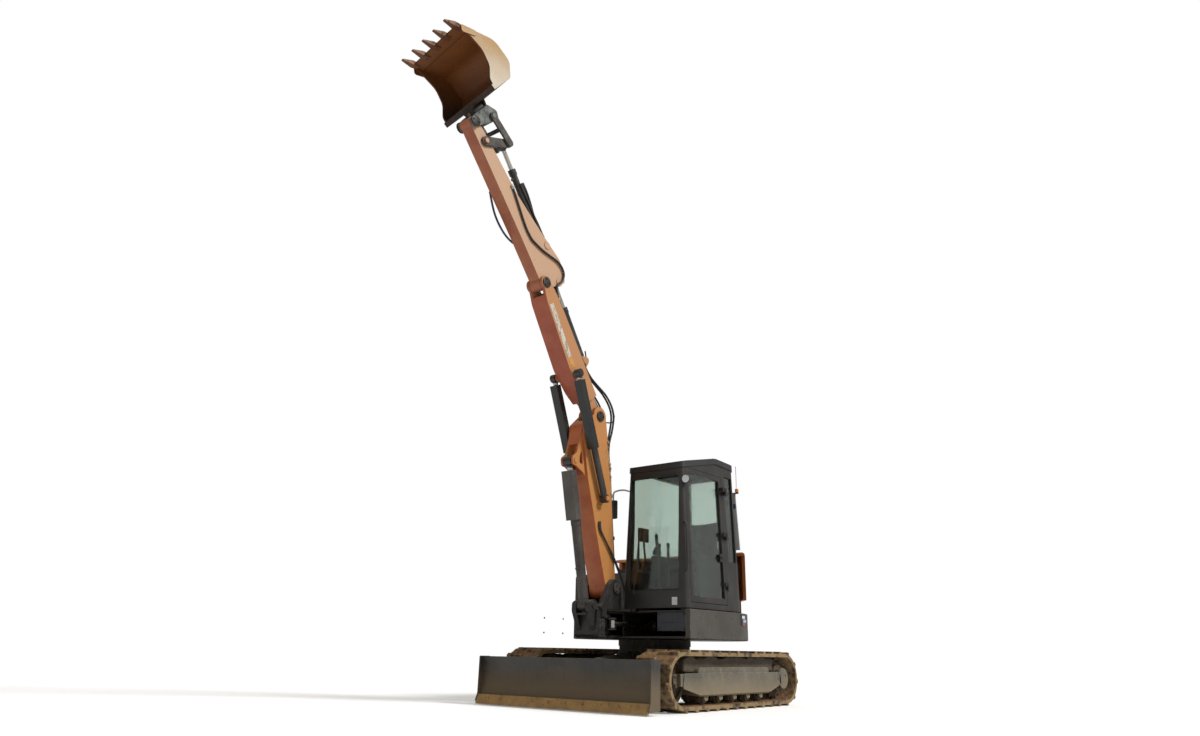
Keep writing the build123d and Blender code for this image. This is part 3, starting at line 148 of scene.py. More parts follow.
def weathered(name, paint, bleached, soil, soil_share=0.45, rough=0.5, metal=0.0, lump=0.0, low=None,
              worn=None, patch=0.35, sides=None, edge=0.006):
    """Painted steel left outdoors: bleached patches, runs of dirt, dust on what faces up, worn edges.

    patch is the size of a bleached patch in metres, low the heights between which soil splashes fade,
    sides the paler colour of faces that look left and right, part painted sunlight and part chalking, and
    lump the depth of caked soil."""
    material, tree, shader, place = blank(name)
    spots = add(tree, "TexNoise", {"Vector": place.outputs["Object"], "Scale": 1 / patch, "Detail": 5.0,
                                   "Roughness": 0.62})
    bleach = add(tree, "MapRange", {"Value": spots.outputs["Fac"], "From Min": 0.38, "From Max": 0.66})
    colour = add(tree, "Mix", {0: bleach.outputs[0], 6: linear(paint), 7: linear(bleached)},
                 data_type="RGBA")
    facing = add(tree, "SeparateXYZ", {0: place.outputs["Normal"]})
    # Faces that look left and right get the sides colour: painted sunlight, partly also chalked paint.
    if sides:
        across = add(tree, "Math", {0: facing.outputs["X"]}, operation="ABSOLUTE")
        turned = add(tree, "MapRange", {"Value": across.outputs[0], "From Min": 0.4, "From Max": 0.9,
                                        "To Max": 0.85})
        colour = add(tree, "Mix", {0: turned.outputs[0], 6: colour.outputs[2], 7: linear(sides)},
                     data_type="RGBA")
    # Runs of dirt are 38 mm wide and nine times as long, and grit is 22 mm, coarse enough to show.
    upright = add(tree, "Mapping", {"Vector": place.outputs["Object"], "Scale": (26, 26, 3)})
    runs = add(tree, "TexNoise", {"Vector": upright.outputs[0], "Scale": 1.0, "Detail": 4.0,
                                  "Roughness": 0.6})
    grit = add(tree, "TexNoise", {"Vector": place.outputs["Object"], "Scale": 45.0, "Detail": 6.0,
                                  "Roughness": 0.7})
    both = add(tree, "Math", {0: runs.outputs["Fac"], 1: grit.outputs["Fac"]}, operation="MULTIPLY")
    cover = add(tree, "MapRange", {"Value": both.outputs[0], "From Min": 0.42 - 0.32 * soil_share,
                                   "From Max": 0.50 - 0.22 * soil_share})
    dust = add(tree, "MapRange", {"Value": facing.outputs["Z"], "From Min": 0.25, "From Max": 0.95,
                                  "To Max": 0.75})
    total = add(tree, "Math", {0: cover.outputs[0], 1: dust.outputs[0]}, operation="MAXIMUM")
    if low:
        spot = add(tree, "SeparateXYZ", {0: place.outputs["Object"]})
        wavy = add(tree, "Math", {0: spots.outputs["Fac"], 1: -0.5 * (low[1] - low[0]),
                                  2: spot.outputs["Z"]}, operation="MULTIPLY_ADD")
        splash = add(tree, "MapRange", {"Value": wavy.outputs[0], "From Min": low[1], "From Max": low[0]})
        total = add(tree, "Math", {0: total.outputs[0], 1: splash.outputs[0]}, operation="MAXIMUM")
    dirty = add(tree, "Mix", {0: total.outputs[0], 6: colour.outputs[2], 7: linear(soil)}, data_type="RGBA")
    last = dirty
    # A rounded edge of this radius catches the light and carries the rubbed paint.
    soft = add(tree, "Bevel", {"Radius": edge}, samples=4) if edge else None
    if worn:
        true = add(tree, "NewGeometry")
        same = add(tree, "VectorMath", {0: soft.outputs[0], 1: true.outputs["Normal"]},
                   operation="DOT_PRODUCT")
        rim = add(tree, "MapRange", {"Value": same.outputs["Value"], "From Min": 0.985, "From Max": 0.90})
        chips = add(tree, "MapRange", {"Value": grit.outputs["Fac"], "From Min": 0.45, "From Max": 0.6})
        rub = add(tree, "Math", {0: rim.outputs[0], 1: chips.outputs[0]}, operation="MULTIPLY")
        last = add(tree, "Mix", {0: rub.outputs[0], 6: dirty.outputs[2], 7: linear(worn)}, data_type="RGBA")
    tree.links.new(last.outputs[2], shader.inputs["Base Color"])
    gloss = add(tree, "MapRange", {"Value": total.outputs[0], "To Min": rough, "To Max": 0.92})
    tree.links.new(gloss.outputs[0], shader.inputs["Roughness"])
    shader.inputs["Metallic"].default_value = metal
    crust = 0.004
    height = add(tree, "Math", {0: grit.outputs["Fac"], 1: total.outputs[0]}, operation="MULTIPLY")
    if lump:
        clods = add(tree, "TexNoise", {"Vector": place.outputs["Object"], "Scale": 11.0, "Detail": 8.0,
                                       "Roughness": 0.6})
        height = add(tree, "Math", {0: clods.outputs["Fac"], 1: lump / crust, 2: height.outputs[0]},
                     operation="MULTIPLY_ADD")
    relief = add(tree, "Bump", {"Height": height.outputs[0], "Distance": crust, "Strength": 0.55})
    if edge:
        tree.links.new(soft.outputs[0], relief.inputs["Normal"])
    tree.links.new(relief.outputs[0], shader.inputs["Normal"])
    return material


def coat(material, *names):
    """Gives nodes of the frame this finish."""
    for name in names:
        node = frame["nodes"][name]
        for place in range(max(1, len(node.material_slots))):
            if not node.material_slots:
                node.data.materials.append(material)
            node.material_slots[place].material = material


# Sprayed alkyd enamel in three states of fading, in random bleached patches. The sides are painted tan,
# part sunlight and part chalking, and the rest the red-brown that the bellies show in shade.
boom_enamel = weathered("orange boom enamel", "#93432a", "#a3563a", "#7d5a3c", 0.28, 0.48, worn="#6a4433",
                        sides="#b07f52")
lower_enamel = weathered("ochre-orange boom enamel", "#a8512a", "#b8683a", "#8a6a48", 0.34, 0.48,
                         worn="#6a4433", sides="#b27c41")
arm_enamel = weathered("bleached orange enamel with painted sunlit sides", "#8d4a30", "#a0603f", "#8a6a4c", 0.25, 0.5, worn="#6a4433",
                       sides="#bc9a7c")
coat(lower_enamel, "base_boom")
coat(boom_enamel, "upper_boom")
coat(arm_enamel, "arm")


class Link:
    """One boom piece: along from pin to pin, out towards its back, across to the machine's left."""

    def __init__(self, start, end, body):
        self.start, self.body = start, body
        self.along = (end - start).normalized()
        self.out = Vector((0, self.along.z, -self.along.y))

    def at(self, along, out, across=0.0):
        """Point of the machine from lengths in metres in this piece's own directions."""
        return self.start + self.along * along + self.out * out + Vector((across, 0, 0))


base = Link(pin["boom_lift"], pin["boom_joint"], "base_boom")
upper = Link(pin["boom_joint"], pin["arm_joint"], "upper_boom")
arm = Link(pin["arm_joint"], pin["bucket_joint"], "arm")


def settle(piece, name, material, body=None):
    """Names a finished piece, puts its place into its mesh and gives it its finish and its body.

    A piece that lies over a joint gets no body here."""
    bpy.ops.object.select_all(action="DESELECT")
    piece.select_set(True)
    bpy.context.view_layer.objects.active = piece
    bpy.ops.object.transform_apply(location=True, rotation=True, scale=True)
    piece.name = piece.data.name = name
    piece.data.materials.clear()
    piece.data.materials.append(material)
    if body:
        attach(piece, body)
    return piece


def block(low, high, rounding):
    """Cube between two corners with rounded edges."""
    bpy.ops.object.select_all(action="DESELECT")
    low, high = Vector(low), Vector(high)
    bpy.ops.mesh.primitive_cube_add(size=1, location=(low + high) / 2)
    piece = bpy.context.object
    piece.scale = [abs(v) for v in high - low]
    bpy.ops.object.transform_apply(location=True, rotation=True, scale=True)
    edges = piece.modifiers.new("edges", "BEVEL")
    edges.width, edges.segments = rounding, 3
    bpy.ops.object.modifier_apply(modifier="edges")
    return piece


def disc(centre, axis, radius, depth, rounding, sides=32):
    """Cylinder standing along axis with rounded rims."""
    bpy.ops.object.select_all(action="DESELECT")
    turn = Vector(axis).to_track_quat("Z", "Y").to_euler()
    bpy.ops.mesh.primitive_cylinder_add(vertices=sides, radius=radius, depth=depth, location=centre,
                                        rotation=turn)
    piece = bpy.context.object
    bpy.ops.object.transform_apply(location=True, rotation=True, scale=True)
    edges = piece.modifiers.new("edges", "BEVEL")
    edges.width, edges.segments, edges.limit_method = rounding, 2, "ANGLE"
    bpy.ops.object.modifier_apply(modifier="edges")
    bpy.ops.object.shade_smooth_by_angle(angle=math.radians(35))
    return piece


def joined(pieces):
    """One object from several."""
    bpy.ops.object.select_all(action="DESELECT")
    for piece in pieces:
        piece.select_set(True)
    bpy.context.view_layer.objects.active = pieces[0]
    bpy.ops.object.join()
    return bpy.context.object


def copied(piece, moves):
    """Copies of a piece, each with its own mesh, one for each move, joined into one."""
    copies = []
    for move in moves:
        twin = piece.copy()
        twin.data = piece.data.copy()
        bpy.context.scene.collection.objects.link(twin)
        twin.data.transform(move)
        copies.append(twin)
    bpy.data.objects.remove(piece)
    return joined(copies)


def bolt(size):
    """Hexagon head with its washer, standing on the origin."""
    washer = disc((0, 0, size * 0.09), (0, 0, 1), size * 1.05, size * 0.18, size * 0.05, 20)
    head = disc((0, 0, size * 0.5), (0, 0, 1), size * 0.86, size * 0.66, size * 0.08, 6)
    return joined([washer, head])


def bolts(name, spots, axis, size, material, body):
    """The same bolt at each spot, heads along axis."""
    turn = Vector(axis).to_track_quat("Z", "Y").to_matrix().to_4x4()
    heads = copied(bolt(size), [Matrix.Translation(Vector(spot)) @ turn for spot in spots])
    return settle(heads, name, material, body)


def ring(centre, radius, count, start=0.0):
    """Spots evenly round a circle whose axis runs across the machine."""
    turns = [start + 2 * math.pi * i / count for i in range(count)]
    return [Vector(centre) + Vector((0, radius * math.cos(turn), radius * math.sin(turn))) for turn in turns]


# Rolled bar and fasteners, blued and oily: dark with a dull metal glint.
dark_steel = weathered("oiled dark steel", "#2a2624", "#3a3633", "#5b5145", 0.25, 0.45, metal=0.35)
for link, length, half, count in ((base, 1.952, 0.129, 3), (upper, 1.682, 0.127, 3), (arm, 1.903, 0.121, 2)):
    for side, hand in ((-1, "right"), (1, "left")):
        keeper = disc(link.at(length, 0, side * half), (side, 0, 0), 0.062, 0.012, 0.003)
        settle(keeper, f"pin_keeper_{link.body}_{hand}", dark_steel, link.body)
        bolts(f"pin_bolts_{link.body}_{hand}", ring(link.at(length, 0, side * (half + 0.006)), 0.040, count),
              (side, 0, 0), 0.012, dark_steel, link.body)

# The bare strip that a sticker left on each side of the upper boom: vinyl film, chalked to pale grey
# and cracked along its rim, with an end that kept its ochre.
pale_film = weathered("chalked sticker film", "#c9c2b6", "#a9a092", "#8f7358", 0.55, 0.7, patch=0.05)
ochre_film = weathered("ochre sticker film", "#c28a3a", "#b07a3a", "#7d5a3c", 0.3, 0.6, patch=0.05)
for side, hand in ((-1, "right"), (1, "left")):
    for part, material, start, stop in (("strip", pale_film, 0.80, 1.44), ("end", ochre_film, 0.67, 0.79)):
        bpy.ops.object.select_all(action="DESELECT")
        bpy.ops.mesh.primitive_grid_add(x_subdivisions=24, y_subdivisions=4, size=1)
        film = bpy.context.object
        for vertex in film.data.vertices:
            share, width = vertex.co.x + 0.5, vertex.co.y
            ragged = 0.006 * noise.noise(Vector((share * 30, width * 4, side)))
            slope = 0.055 * (1 - share) if part == "strip" else 0.055
            vertex.co = upper.at(start + (stop - start) * share, -0.055 - slope + (0.072 + ragged) * width,
                                 side * 0.1178)
        skin = film.modifiers.new("skin", "SOLIDIFY")
        skin.thickness, skin.offset = 0.0012, 0
        bpy.ops.object.modifier_apply(modifier="skin")
        settle(film, f"sticker_{part}_{hand}", material, "upper_boom")


# ---- hydraulic cylinders ----
# Honed steel barrels in black enamel with ground, hard-chromed rods and forged eyes. Folded sheet
# guards cover the lift and fold rods, and mud has dried on the lift and blade barrels.
bare_chrome = "#b9b6b0"


def bright_chrome():
    """Hard chrome: near-mirror with the haze of an oily film, so rods read as pale streaks."""
    material, tree, shader, place = blank("hard chrome")
    shader.inputs["Base Color"].default_value = linear(bare_chrome)
    shader.inputs["Metallic"].default_value = 1.0
    film = add(tree, "TexNoise", {"Vector": place.outputs["Object"], "Scale": 30.0, "Detail": 4.0})
    haze = add(tree, "MapRange", {"Value": film.outputs["Fac"], "To Min": 0.14, "To Max": 0.42})
    tree.links.new(haze.outputs[0], shader.inputs["Roughness"])
    return material


def enamelled_eye(name, eye, reach):
    """The same chrome with the forged eye, within reach of its pin, left in black enamel."""
    material = chrome.copy()
    material.name = name
    tree = material.node_tree
    shader = tree.nodes["Principled BSDF"]
    place = add(tree, "TexCoord")
    flat = add(tree, "VectorMath", {0: place.outputs["Object"], 1: (0, 1, 1)}, operation="MULTIPLY")
    away = add(tree, "VectorMath", {0: flat.outputs[0], 1: eye}, operation="DISTANCE")
    bare = add(tree, "Math", {0: away.outputs["Value"], 1: reach}, operation="GREATER_THAN")
    colour = add(tree, "Mix", {0: bare.outputs[0], 6: linear("#2a2725"), 7: linear(bare_chrome)},
                 data_type="RGBA")
    tree.links.new(colour.outputs[2], shader.inputs["Base Color"])
    tree.links.new(bare.outputs[0], shader.inputs["Metallic"])
    return material


chrome = bright_chrome()
# Gloss enamel on turned tube, dulled by oil and dust: black with a soft highlight along the barrel.
ram_black = weathered("black cylinder enamel", "#1f1e1e", "#34312e", "#54493d", 0.35, 0.4, worn="#5a5048")
# The same enamel under dried splashes: brown-grey and matt, with a crust that breaks the outline.
ram_muddy = weathered("cylinder enamel under mud", "#2a2523", "#3c3733", "#57504a", 0.5, 0.5, lump=0.006)
# Folded 3 mm sheet in dark green and brown-grey enamel: flat faces with one long highlight.
guard_green = weathered("bottle green sheet", "#141816", "#222725", "#3f3b33", 0.25, 0.35, worn="#58534a")
guard_grey = weathered("brown-grey sheet", "#3f3b38", "#57514c", "#655b4e", 0.35, 0.32, worn="#8a8278")
coat(ram_black, "fold_ram_barrels", "arm_ram_barrel", "bucket_ram_barrel", "swing_ram_barrel")
coat(ram_muddy, "lift_ram_barrel", "blade_ram_barrel")
coat(guard_green, "fold_ram_guards")
coat(guard_grey, "lift_ram_guard")
# Centre of each rod's eye, and how far from it the black enamel reaches, in metres.
rod_eyes = {"lift_ram_rod": ((0, -1.656, 2.591), 0.080), "fold_ram_rods": ((0, -1.753, 3.571), 0.062),
            "arm_ram_rod": ((0, -2.024, 4.621), 0.060), "bucket_ram_rod": ((0, -2.986, 5.97), 0.055),
            "blade_ram_rod": ((0, -1.53, 0.395), 0.060)}
for node, (eye, reach) in rod_eyes.items():
    coat(enamelled_eye(f"chrome with black eye on {node}", eye, reach), node)
coat(chrome, "swing_ram_rod")


# ---- swing post ----
# One steel casting between the deck's lugs and the boom foot, turning about an upright axis. It is
# painted black, and thick with grease and road dirt; a bolted cap keeps each end of the foot pin.
cast_black = weathered("greasy black casting", "#181614", "#2a2623", "#57504a", 0.35, 0.5, lump=0.003,
                       patch=0.15)
coat(cast_black, "swing_post")
for side, hand in ((-1, "right"), (1, "left")):
    foot = disc(pin["boom_lift"] + Vector((side * 0.196, 0, 0)), (side, 0, 0), 0.060, 0.014, 0.004)
    settle(foot, f"foot_pin_cap_{hand}", ram_muddy, "swing_post")
    bolts(f"foot_pin_bolts_{hand}", ring(pin["boom_lift"] + Vector((side * 0.203, 0, 0)), 0.038, 3),
          (side, 0, 0), 0.012, dark_steel, "swing_post")


# ---- quick coupler, link and rocker ----
# Cast coupler that holds the bucket, and the forged link and rocker that turn it. Grey-green enamel
# is left in patches on the coupler; the link and rocker are bare, dark and greasy.
coupler_grey = weathered("grey-green coupler enamel", "#2f322f", "#6d726b", "#241e1a", 0.5, 0.5,
                         worn="#8f897e", lump=0.002, patch=0.12)
link_steel = weathered("greasy link steel", "#332f2c", "#5d5852", "#241e1a", 0.45, 0.4, metal=0.3, patch=0.1)
coat(coupler_grey, "quick_coupler")
coat(link_steel, "bucket_link", "bucket_rocker")


# ---- bucket ----
# Digging bucket rolled and welded from wear plate, with cast teeth along its lip. Soil keeps it
# rust-brown and half polished inside, and the left cheek is painted pale tan for the sunlight on it.
bucket_low, bucket_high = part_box("bucket")


def soil_worn_and_sunlit_steel():
    """Bucket plate: dark brown oxide inside, brighter brown near the lip, and a pale tan left outer cheek
    that is painted sunlight.
    """
    material, tree, shader, place = blank("soil-worn bucket plate with painted sunlit cheek")
    spot = add(tree, "SeparateXYZ", {0: place.outputs["Object"]})
    facing = add(tree, "SeparateXYZ", {0: place.outputs["Normal"]})
    cloud = add(tree, "TexNoise", {"Vector": place.outputs["Object"], "Scale": 5.0, "Detail": 6.0})
    grit = add(tree, "TexNoise", {"Vector": place.outputs["Object"], "Scale": 90.0, "Detail": 4.0})
    rise = add(tree, "MapRange", {"Value": spot.outputs["Z"], "From Min": bucket_low.z + 0.25,
                                  "From Max": bucket_high.z - 0.06})
    patchy = add(tree, "Math", {0: cloud.outputs["Fac"], 1: 0.5, 2: rise.outputs[0]},
                 operation="MULTIPLY_ADD")
    tone = add(tree, "MapRange", {"Value": patchy.outputs[0], "From Min": 0.2, "From Max": 1.3})
    inside = add(tree, "Mix", {0: tone.outputs[0], 6: linear("#22140c"), 7: linear("#74400f")},
                 data_type="RGBA")
    # Only the outer face that looks left is painted pale tan: painted sunlight on the side the sun falls on.
    cheek = add(tree, "Mix", {0: tone.outputs[0], 6: linear("#b9b09f"), 7: linear("#9c7a48")},
                data_type="RGBA")
    left = add(tree, "Math", {0: facing.outputs["X"], 1: 0.85}, operation="GREATER_THAN")
    outer = add(tree, "Math", {0: spot.outputs["X"], 1: 0.16}, operation="GREATER_THAN")
    share = add(tree, "Math", {0: left.outputs[0], 1: outer.outputs[0]}, operation="MULTIPLY")
    colour = add(tree, "Mix", {0: share.outputs[0], 6: inside.outputs[2], 7: cheek.outputs[2]},
                 data_type="RGBA")
    tree.links.new(colour.outputs[2], shader.inputs["Base Color"])
    shader.inputs["Metallic"].default_value = 0.15
    shine = add(tree, "MapRange", {"Value": grit.outputs["Fac"], "To Min": 0.45, "To Max": 0.8})
    tree.links.new(shine.outputs[0], shader.inputs["Roughness"])
    soft = add(tree, "Bevel", {"Radius": 0.008}, samples=4)
    height = add(tree, "Math", {0: cloud.outputs["Fac"], 1: 3.0, 2: grit.outputs["Fac"]},
                 operation="MULTIPLY_ADD")
    relief = add(tree, "Bump", {"Height": height.outputs[0], "Distance": 0.003, "Strength": 0.5,
                                "Normal": soft.outputs[0]})
    tree.links.new(relief.outputs[0], shader.inputs["Normal"])
    return material


bucket_plate = soil_worn_and_sunlit_steel()
# Cast alloy teeth, rusty where soil does not rub: deep brown with a lighter ridge.
tooth_steel = weathered("rusty cast tooth", "#5a3316", "#6d4220", "#33200f", 0.4, 0.55, metal=0.2,
                        worn="#8a6a44")
coat(bucket_plate, "bucket")
coat(tooth_steel, "bucket_teeth")


# ---- tracks ----
# Moulded rubber belts on steel cords run round welded frames, on cast idlers, rollers and sprockets.
# Drying soil hides most of the rubber and is packed into the frames.
def caked_rubber():
    """Mud over rubber: tan dried crust in lumps, dark damp soil in the hollows, black rubber showing."""
    material, tree, shader, place = blank("mud-caked rubber")
    clods = add(tree, "TexVoronoi", {"Vector": place.outputs["Object"], "Scale": 14.0, "Randomness": 1.0})
    cloud = add(tree, "TexNoise", {"Vector": place.outputs["Object"], "Scale": 4.5, "Detail": 7.0,
                                   "Roughness": 0.62})
    grit = add(tree, "TexNoise", {"Vector": place.outputs["Object"], "Scale": 60.0, "Detail": 6.0,
                                  "Roughness": 0.7})
    mixed = add(tree, "Math", {0: clods.outputs["Distance"], 1: 0.55, 2: cloud.outputs["Fac"]},
                operation="MULTIPLY_ADD")
    tone = add(tree, "ValToRGB", {"Fac": mixed.outputs[0]})
    ramp = tone.color_ramp
    ramp.elements[0].position, ramp.elements[0].color = 0.42, linear("#1f1812")
    ramp.elements[1].position, ramp.elements[1].color = 0.86, linear("#8a7350")
    middle = ramp.elements.new(0.62)
    middle.color = linear("#5d4b37")
    facing = add(tree, "SeparateXYZ", {0: place.outputs["Normal"]})
    top = add(tree, "MapRange", {"Value": facing.outputs["Z"], "From Min": 0.4, "From Max": 1.0,
                                 "To Max": 0.6})
    colour = add(tree, "Mix", {0: top.outputs[0], 6: tone.outputs[0], 7: linear("#7d5230")},
                 data_type="RGBA")
    tree.links.new(colour.outputs[2], shader.inputs["Base Color"])
    shader.inputs["Roughness"].default_value = 0.9
    height = add(tree, "Math", {0: mixed.outputs[0], 1: 2.2, 2: grit.outputs["Fac"]},
                 operation="MULTIPLY_ADD")
    relief = add(tree, "Bump", {"Height": height.outputs[0], "Distance": 0.014, "Strength": 0.8})
    tree.links.new(relief.outputs[0], shader.inputs["Normal"])
    return material


track_mud = caked_rubber()
coat(track_mud, "track_left", "track_right")
# Enamel on the frames' plates under a film of dust: grey-tan with pale rubbed edges.
frame_paint = weathered("dusty frame enamel", "#4c483f", "#645f53", "#7a6d56", 0.5, 0.6, low=(0.10, 0.30),
                        worn="#a79b84", lump=0.002)
# Cast iron wheels and the frame's castings: brown-black, and lumpy where soil has dried on.
wheel_iron = weathered("muddy wheel casting", "#3a342e", "#564c40", "#7a6850", 0.6, 0.6, lump=0.006)
body_black = weathered("mud-splashed frame casting", "#24201d", "#332d28", "#5f523f", 0.55, 0.6,
                       low=(0.2, 0.55), lump=0.008)
coat(frame_paint, "track_frame_left", "track_frame_right")
coat(wheel_iron, "idlers", "sprockets", "track_rollers")
coat(body_black, "car_body", "slew_ring")

belt_low, belt_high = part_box("track_left")
wheel_y = 1.122
axle_z = (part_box("sprockets")[0].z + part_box("sprockets")[1].z) / 2
for side, hand in ((-1, "right"), (1, "left")):
    drum = disc((side * 1.092, wheel_y, axle_z), (side, 0, 0), 0.118, 0.030, 0.009, 40)
    plug = disc((side * 1.110, wheel_y + 0.052, axle_z + 0.04), (side, 0, 0), 0.016, 0.012, 0.003, 6)
    settle(joined([drum, plug]), f"drive_cover_{hand}", frame_paint, "undercarriage")
    bolts(f"drive_bolts_{hand}", ring((side * 1.099, wheel_y, axle_z), 0.150, 12), (side, 0, 0), 0.012,
          dark_steel, "undercarriage")
    bolts(f"axle_bolts_{hand}", ring((side * 1.046, -wheel_y, axle_z), 0.052, 4, 0.8), (side, 0, 0), 0.013,
          dark_steel, "undercarriage")

# Clods that the belts have pressed together and dropped on the lugs.
random.seed(11)


def clod(size, seed):
    """Broken lump of dried soil: a subdivided ball pushed about, flattened where it lies."""
    bpy.ops.object.select_all(action="DESELECT")
    bpy.ops.mesh.primitive_ico_sphere_add(subdivisions=3, radius=size)
    lump = bpy.context.object
    for vertex in lump.data.vertices:
        push = 1 + 0.55 * noise.noise(vertex.co / size * 1.3 + Vector((seed, 0, 0)))
        vertex.co = Vector((vertex.co.x * push, vertex.co.y * push, vertex.co.z * push * 0.5))
    return lump


def on_belt(share):
    """Spot on the belt's outer face, this share of the way round from its front foot, and its outward
    direction."""
    radius = (belt_high.z - belt_low.z) / 2
    straight = (belt_high.y - belt_low.y) - 2 * radius
    around = 2 * straight + 2 * math.pi * radius
    s = share * around
    middle = (belt_low.z + belt_high.z) / 2
    if s < math.pi * radius:
        turn = -math.pi / 2 - s / radius
        out = Vector((0, math.cos(turn), math.sin(turn)))
        return Vector((0, -straight / 2, middle)) + out * radius, out
    s -= math.pi * radius
    if s < straight:
        return Vector((0, -straight / 2 + s, belt_high.z)), Vector((0, 0, 1))
    s -= straight
    turn = math.pi / 2 - s / radius
    out = Vector((0, math.cos(turn), math.sin(turn)))
    return Vector((0, straight / 2, middle)) + out * radius, out


for side, hand in ((1, "left"), (-1, "right")):
    lumps = []
    for i in range(64):
        spot, out = on_belt(random.uniform(0.02, 0.58))
        size = random.uniform(0.018, 0.052)
        across = side * random.uniform(0.72, 1.12)
        lump = clod(size, i * 3.7)
        turn = out.to_track_quat("Z", "Y").to_matrix().to_4x4()
        spin = Matrix.Rotation(random.uniform(0, 6.28), 4, "Z")
        lump.data.transform(Matrix.Translation(spot - out * 0.030 + Vector((across, 0, 0))) @ turn @ spin)
        lumps.append(lump)
    cake = joined(lumps)
    bpy.ops.object.shade_smooth()
    settle(cake, f"soil_on_track_{hand}", track_mud, "undercarriage")

# Soil packed between the upper run of the belt and its frame, uneven on top; it is near black, partly damp
# soil and partly painted shade in that gap.
bank_top = 0.548
for side, hand in ((1, "left"), (-1, "right")):
    bank = block((side * 0.93 - 0.12, -0.98, 0.38), (side * 0.93 + 0.11, 0.98, 0.535), 0.020)
    bpy.ops.object.mode_set(mode="EDIT")
    bpy.ops.mesh.select_all(action="SELECT")
    bpy.ops.mesh.subdivide(number_cuts=40)
    bpy.ops.object.mode_set(mode="OBJECT")
    for vertex in bank.data.vertices:
        if vertex.co.z > 0.40:
            heap = noise.noise(vertex.co * 5.5) * 0.045 + noise.noise(vertex.co * 19) * 0.014
            vertex.co.z = min(vertex.co.z + heap, bank_top)
        vertex.co.x += 0.012 * noise.noise(vertex.co * 12 + Vector((9, 0, 0)))
    bpy.ops.object.shade_smooth()
    settle(bank, f"soil_and_painted_shade_on_frame_{hand}", body_black, "undercarriage")


# ---- dozer blade ----
# Rolled and welded board on its arms, scoured dark by the soil that it pushes, with a replaceable
# cutting edge on plough bolts that is caked in ochre clay.
blade_paint = weathered("scoured blade plate", "#262320", "#383430", "#5f523f", 0.30, 0.42,
                        low=(0.15, 0.38), worn="#7d705a")
# Dried clay over hard steel: matt ochre, cracked and uneven.
clay_edge = weathered("clay-caked cutting edge", "#94754a", "#ab8853", "#6a5030", 0.4, 0.8, lump=0.005,
                      patch=0.12)
coat(blade_paint, "dozer_blade")
coat(clay_edge, "blade_cutting_edge")
edge_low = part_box("blade_cutting_edge")[0]
bolts("cutting_edge_bolts", [(-1.02 + 0.2267 * i, edge_low.y + 0.028, 0.072) for i in range(10)],
      (0, -1, 0.35), 0.013, clay_edge, "blade")


# ---- deck, skirts and counterweight ----
# Welded deck in black, pressed side skirts bolted to it, and a cast iron counterweight at the tail.
# The skirts' rims are rubbed to bare grey, and the counterweight's orange has faded.
deck_paint = weathered("black deck enamel", "#1d1b1a", "#2b2826", "#4a4238", 0.35, 0.5, lump=0.002)
skirt_paint = weathered("grey-brown skirt enamel", "#37332f", "#45403a", "#5a5246", 0.35, 0.5,
                        worn="#b0aaa2")
weight_paint = weathered("faded orange counterweight enamel", "#a56c38", "#bd8a52", "#7a5e40", 0.35, 0.55,
                         worn="#7a5a40")
hood_paint = weathered("orange hood enamel", "#a9602f", "#c58349", "#8a6a48", 0.22, 0.4, worn="#7a5a40")
coat(deck_paint, "deck_frame", "deck_webs", "deck_floor")
coat(skirt_paint, "side_skirts")
coat(weight_paint, "counterweight")
coat(hood_paint, "rear_hood", "right_side_cover")
coat(skirt_paint, "tank_cover")
coat(cast_black, "engine_block", "tail_wall")

skirt_low, skirt_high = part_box("side_skirts")
for side, hand, face_x in ((-1, "right", skirt_low.x + 0.003), (1, "left", skirt_high.x - 0.003)):
    bolts(f"skirt_bolts_{hand}", [(face_x, y, z) for y in (-0.75, -0.40, -0.05) for z in (0.78, 0.95)],
          (side, 0, 0), 0.010, skirt_paint, "upper")

# Pressed front of the battery box under the cab, in slate-blue enamel with a stiffening rib.
slate_paint = weathered("slate-blue enamel", "#20232c", "#2d313c", "#4a463f", 0.3, 0.4, worn="#77777a")
panel = block((0.66, -0.905, 0.790), (1.035, -0.885, 0.990), 0.008)
rib = block((0.70, -0.911, 0.880), (1.00, -0.904, 0.892), 0.003)
settle(joined([panel, rib]), "battery_box_front", slate_paint, "upper")
bolts("battery_box_bolts", [(x, -0.906, z) for x in (0.685, 1.010) for z in (0.815, 0.965)],
      (0, -1, 0), 0.009, dark_steel, "upper")


# ---- tail lamps ----
# Moulded black housings screwed to the skirts where they turn in towards the tail, each with three
# ribbed lenses of acrylic, clear, pale blue and red.
def lens(name, colour):
    """Moulded acrylic: strong colour and gloss, a little light passing, ribs 8 mm apart."""
    material, tree, shader, place = blank(name)
    ribs = add(tree, "TexWave", {"Vector": place.outputs["Object"], "Scale": 40.0}, bands_direction="Z")
    dust = add(tree, "TexNoise", {"Vector": place.outputs["Object"], "Scale": 25.0, "Detail": 4.0})
    film = add(tree, "MapRange", {"Value": dust.outputs["Fac"], "From Min": 0.5, "From Max": 0.8,
                                  "To Max": 0.5})
    shade = add(tree, "Mix", {0: film.outputs[0], 6: linear(colour), 7: linear("#8f887c")},
                data_type="RGBA")
    tree.links.new(shade.outputs[2], shader.inputs["Base Color"])
    relief = add(tree, "Bump", {"Height": ribs.outputs["Fac"], "Distance": 0.001, "Strength": 0.4})
    tree.links.new(relief.outputs[0], shader.inputs["Normal"])
    shader.inputs["Roughness"].default_value = 0.12
    shader.inputs["Transmission Weight"].default_value = 0.25
    return material


clear_lens, red_lens = lens("clear lens acrylic", "#dfe4ea"), lens("red lens acrylic", "#8e1d18")
amber_lens, blue_lens = lens("amber lens acrylic", "#d07a1c"), lens("pale blue lens acrylic", "#9fc3e0")
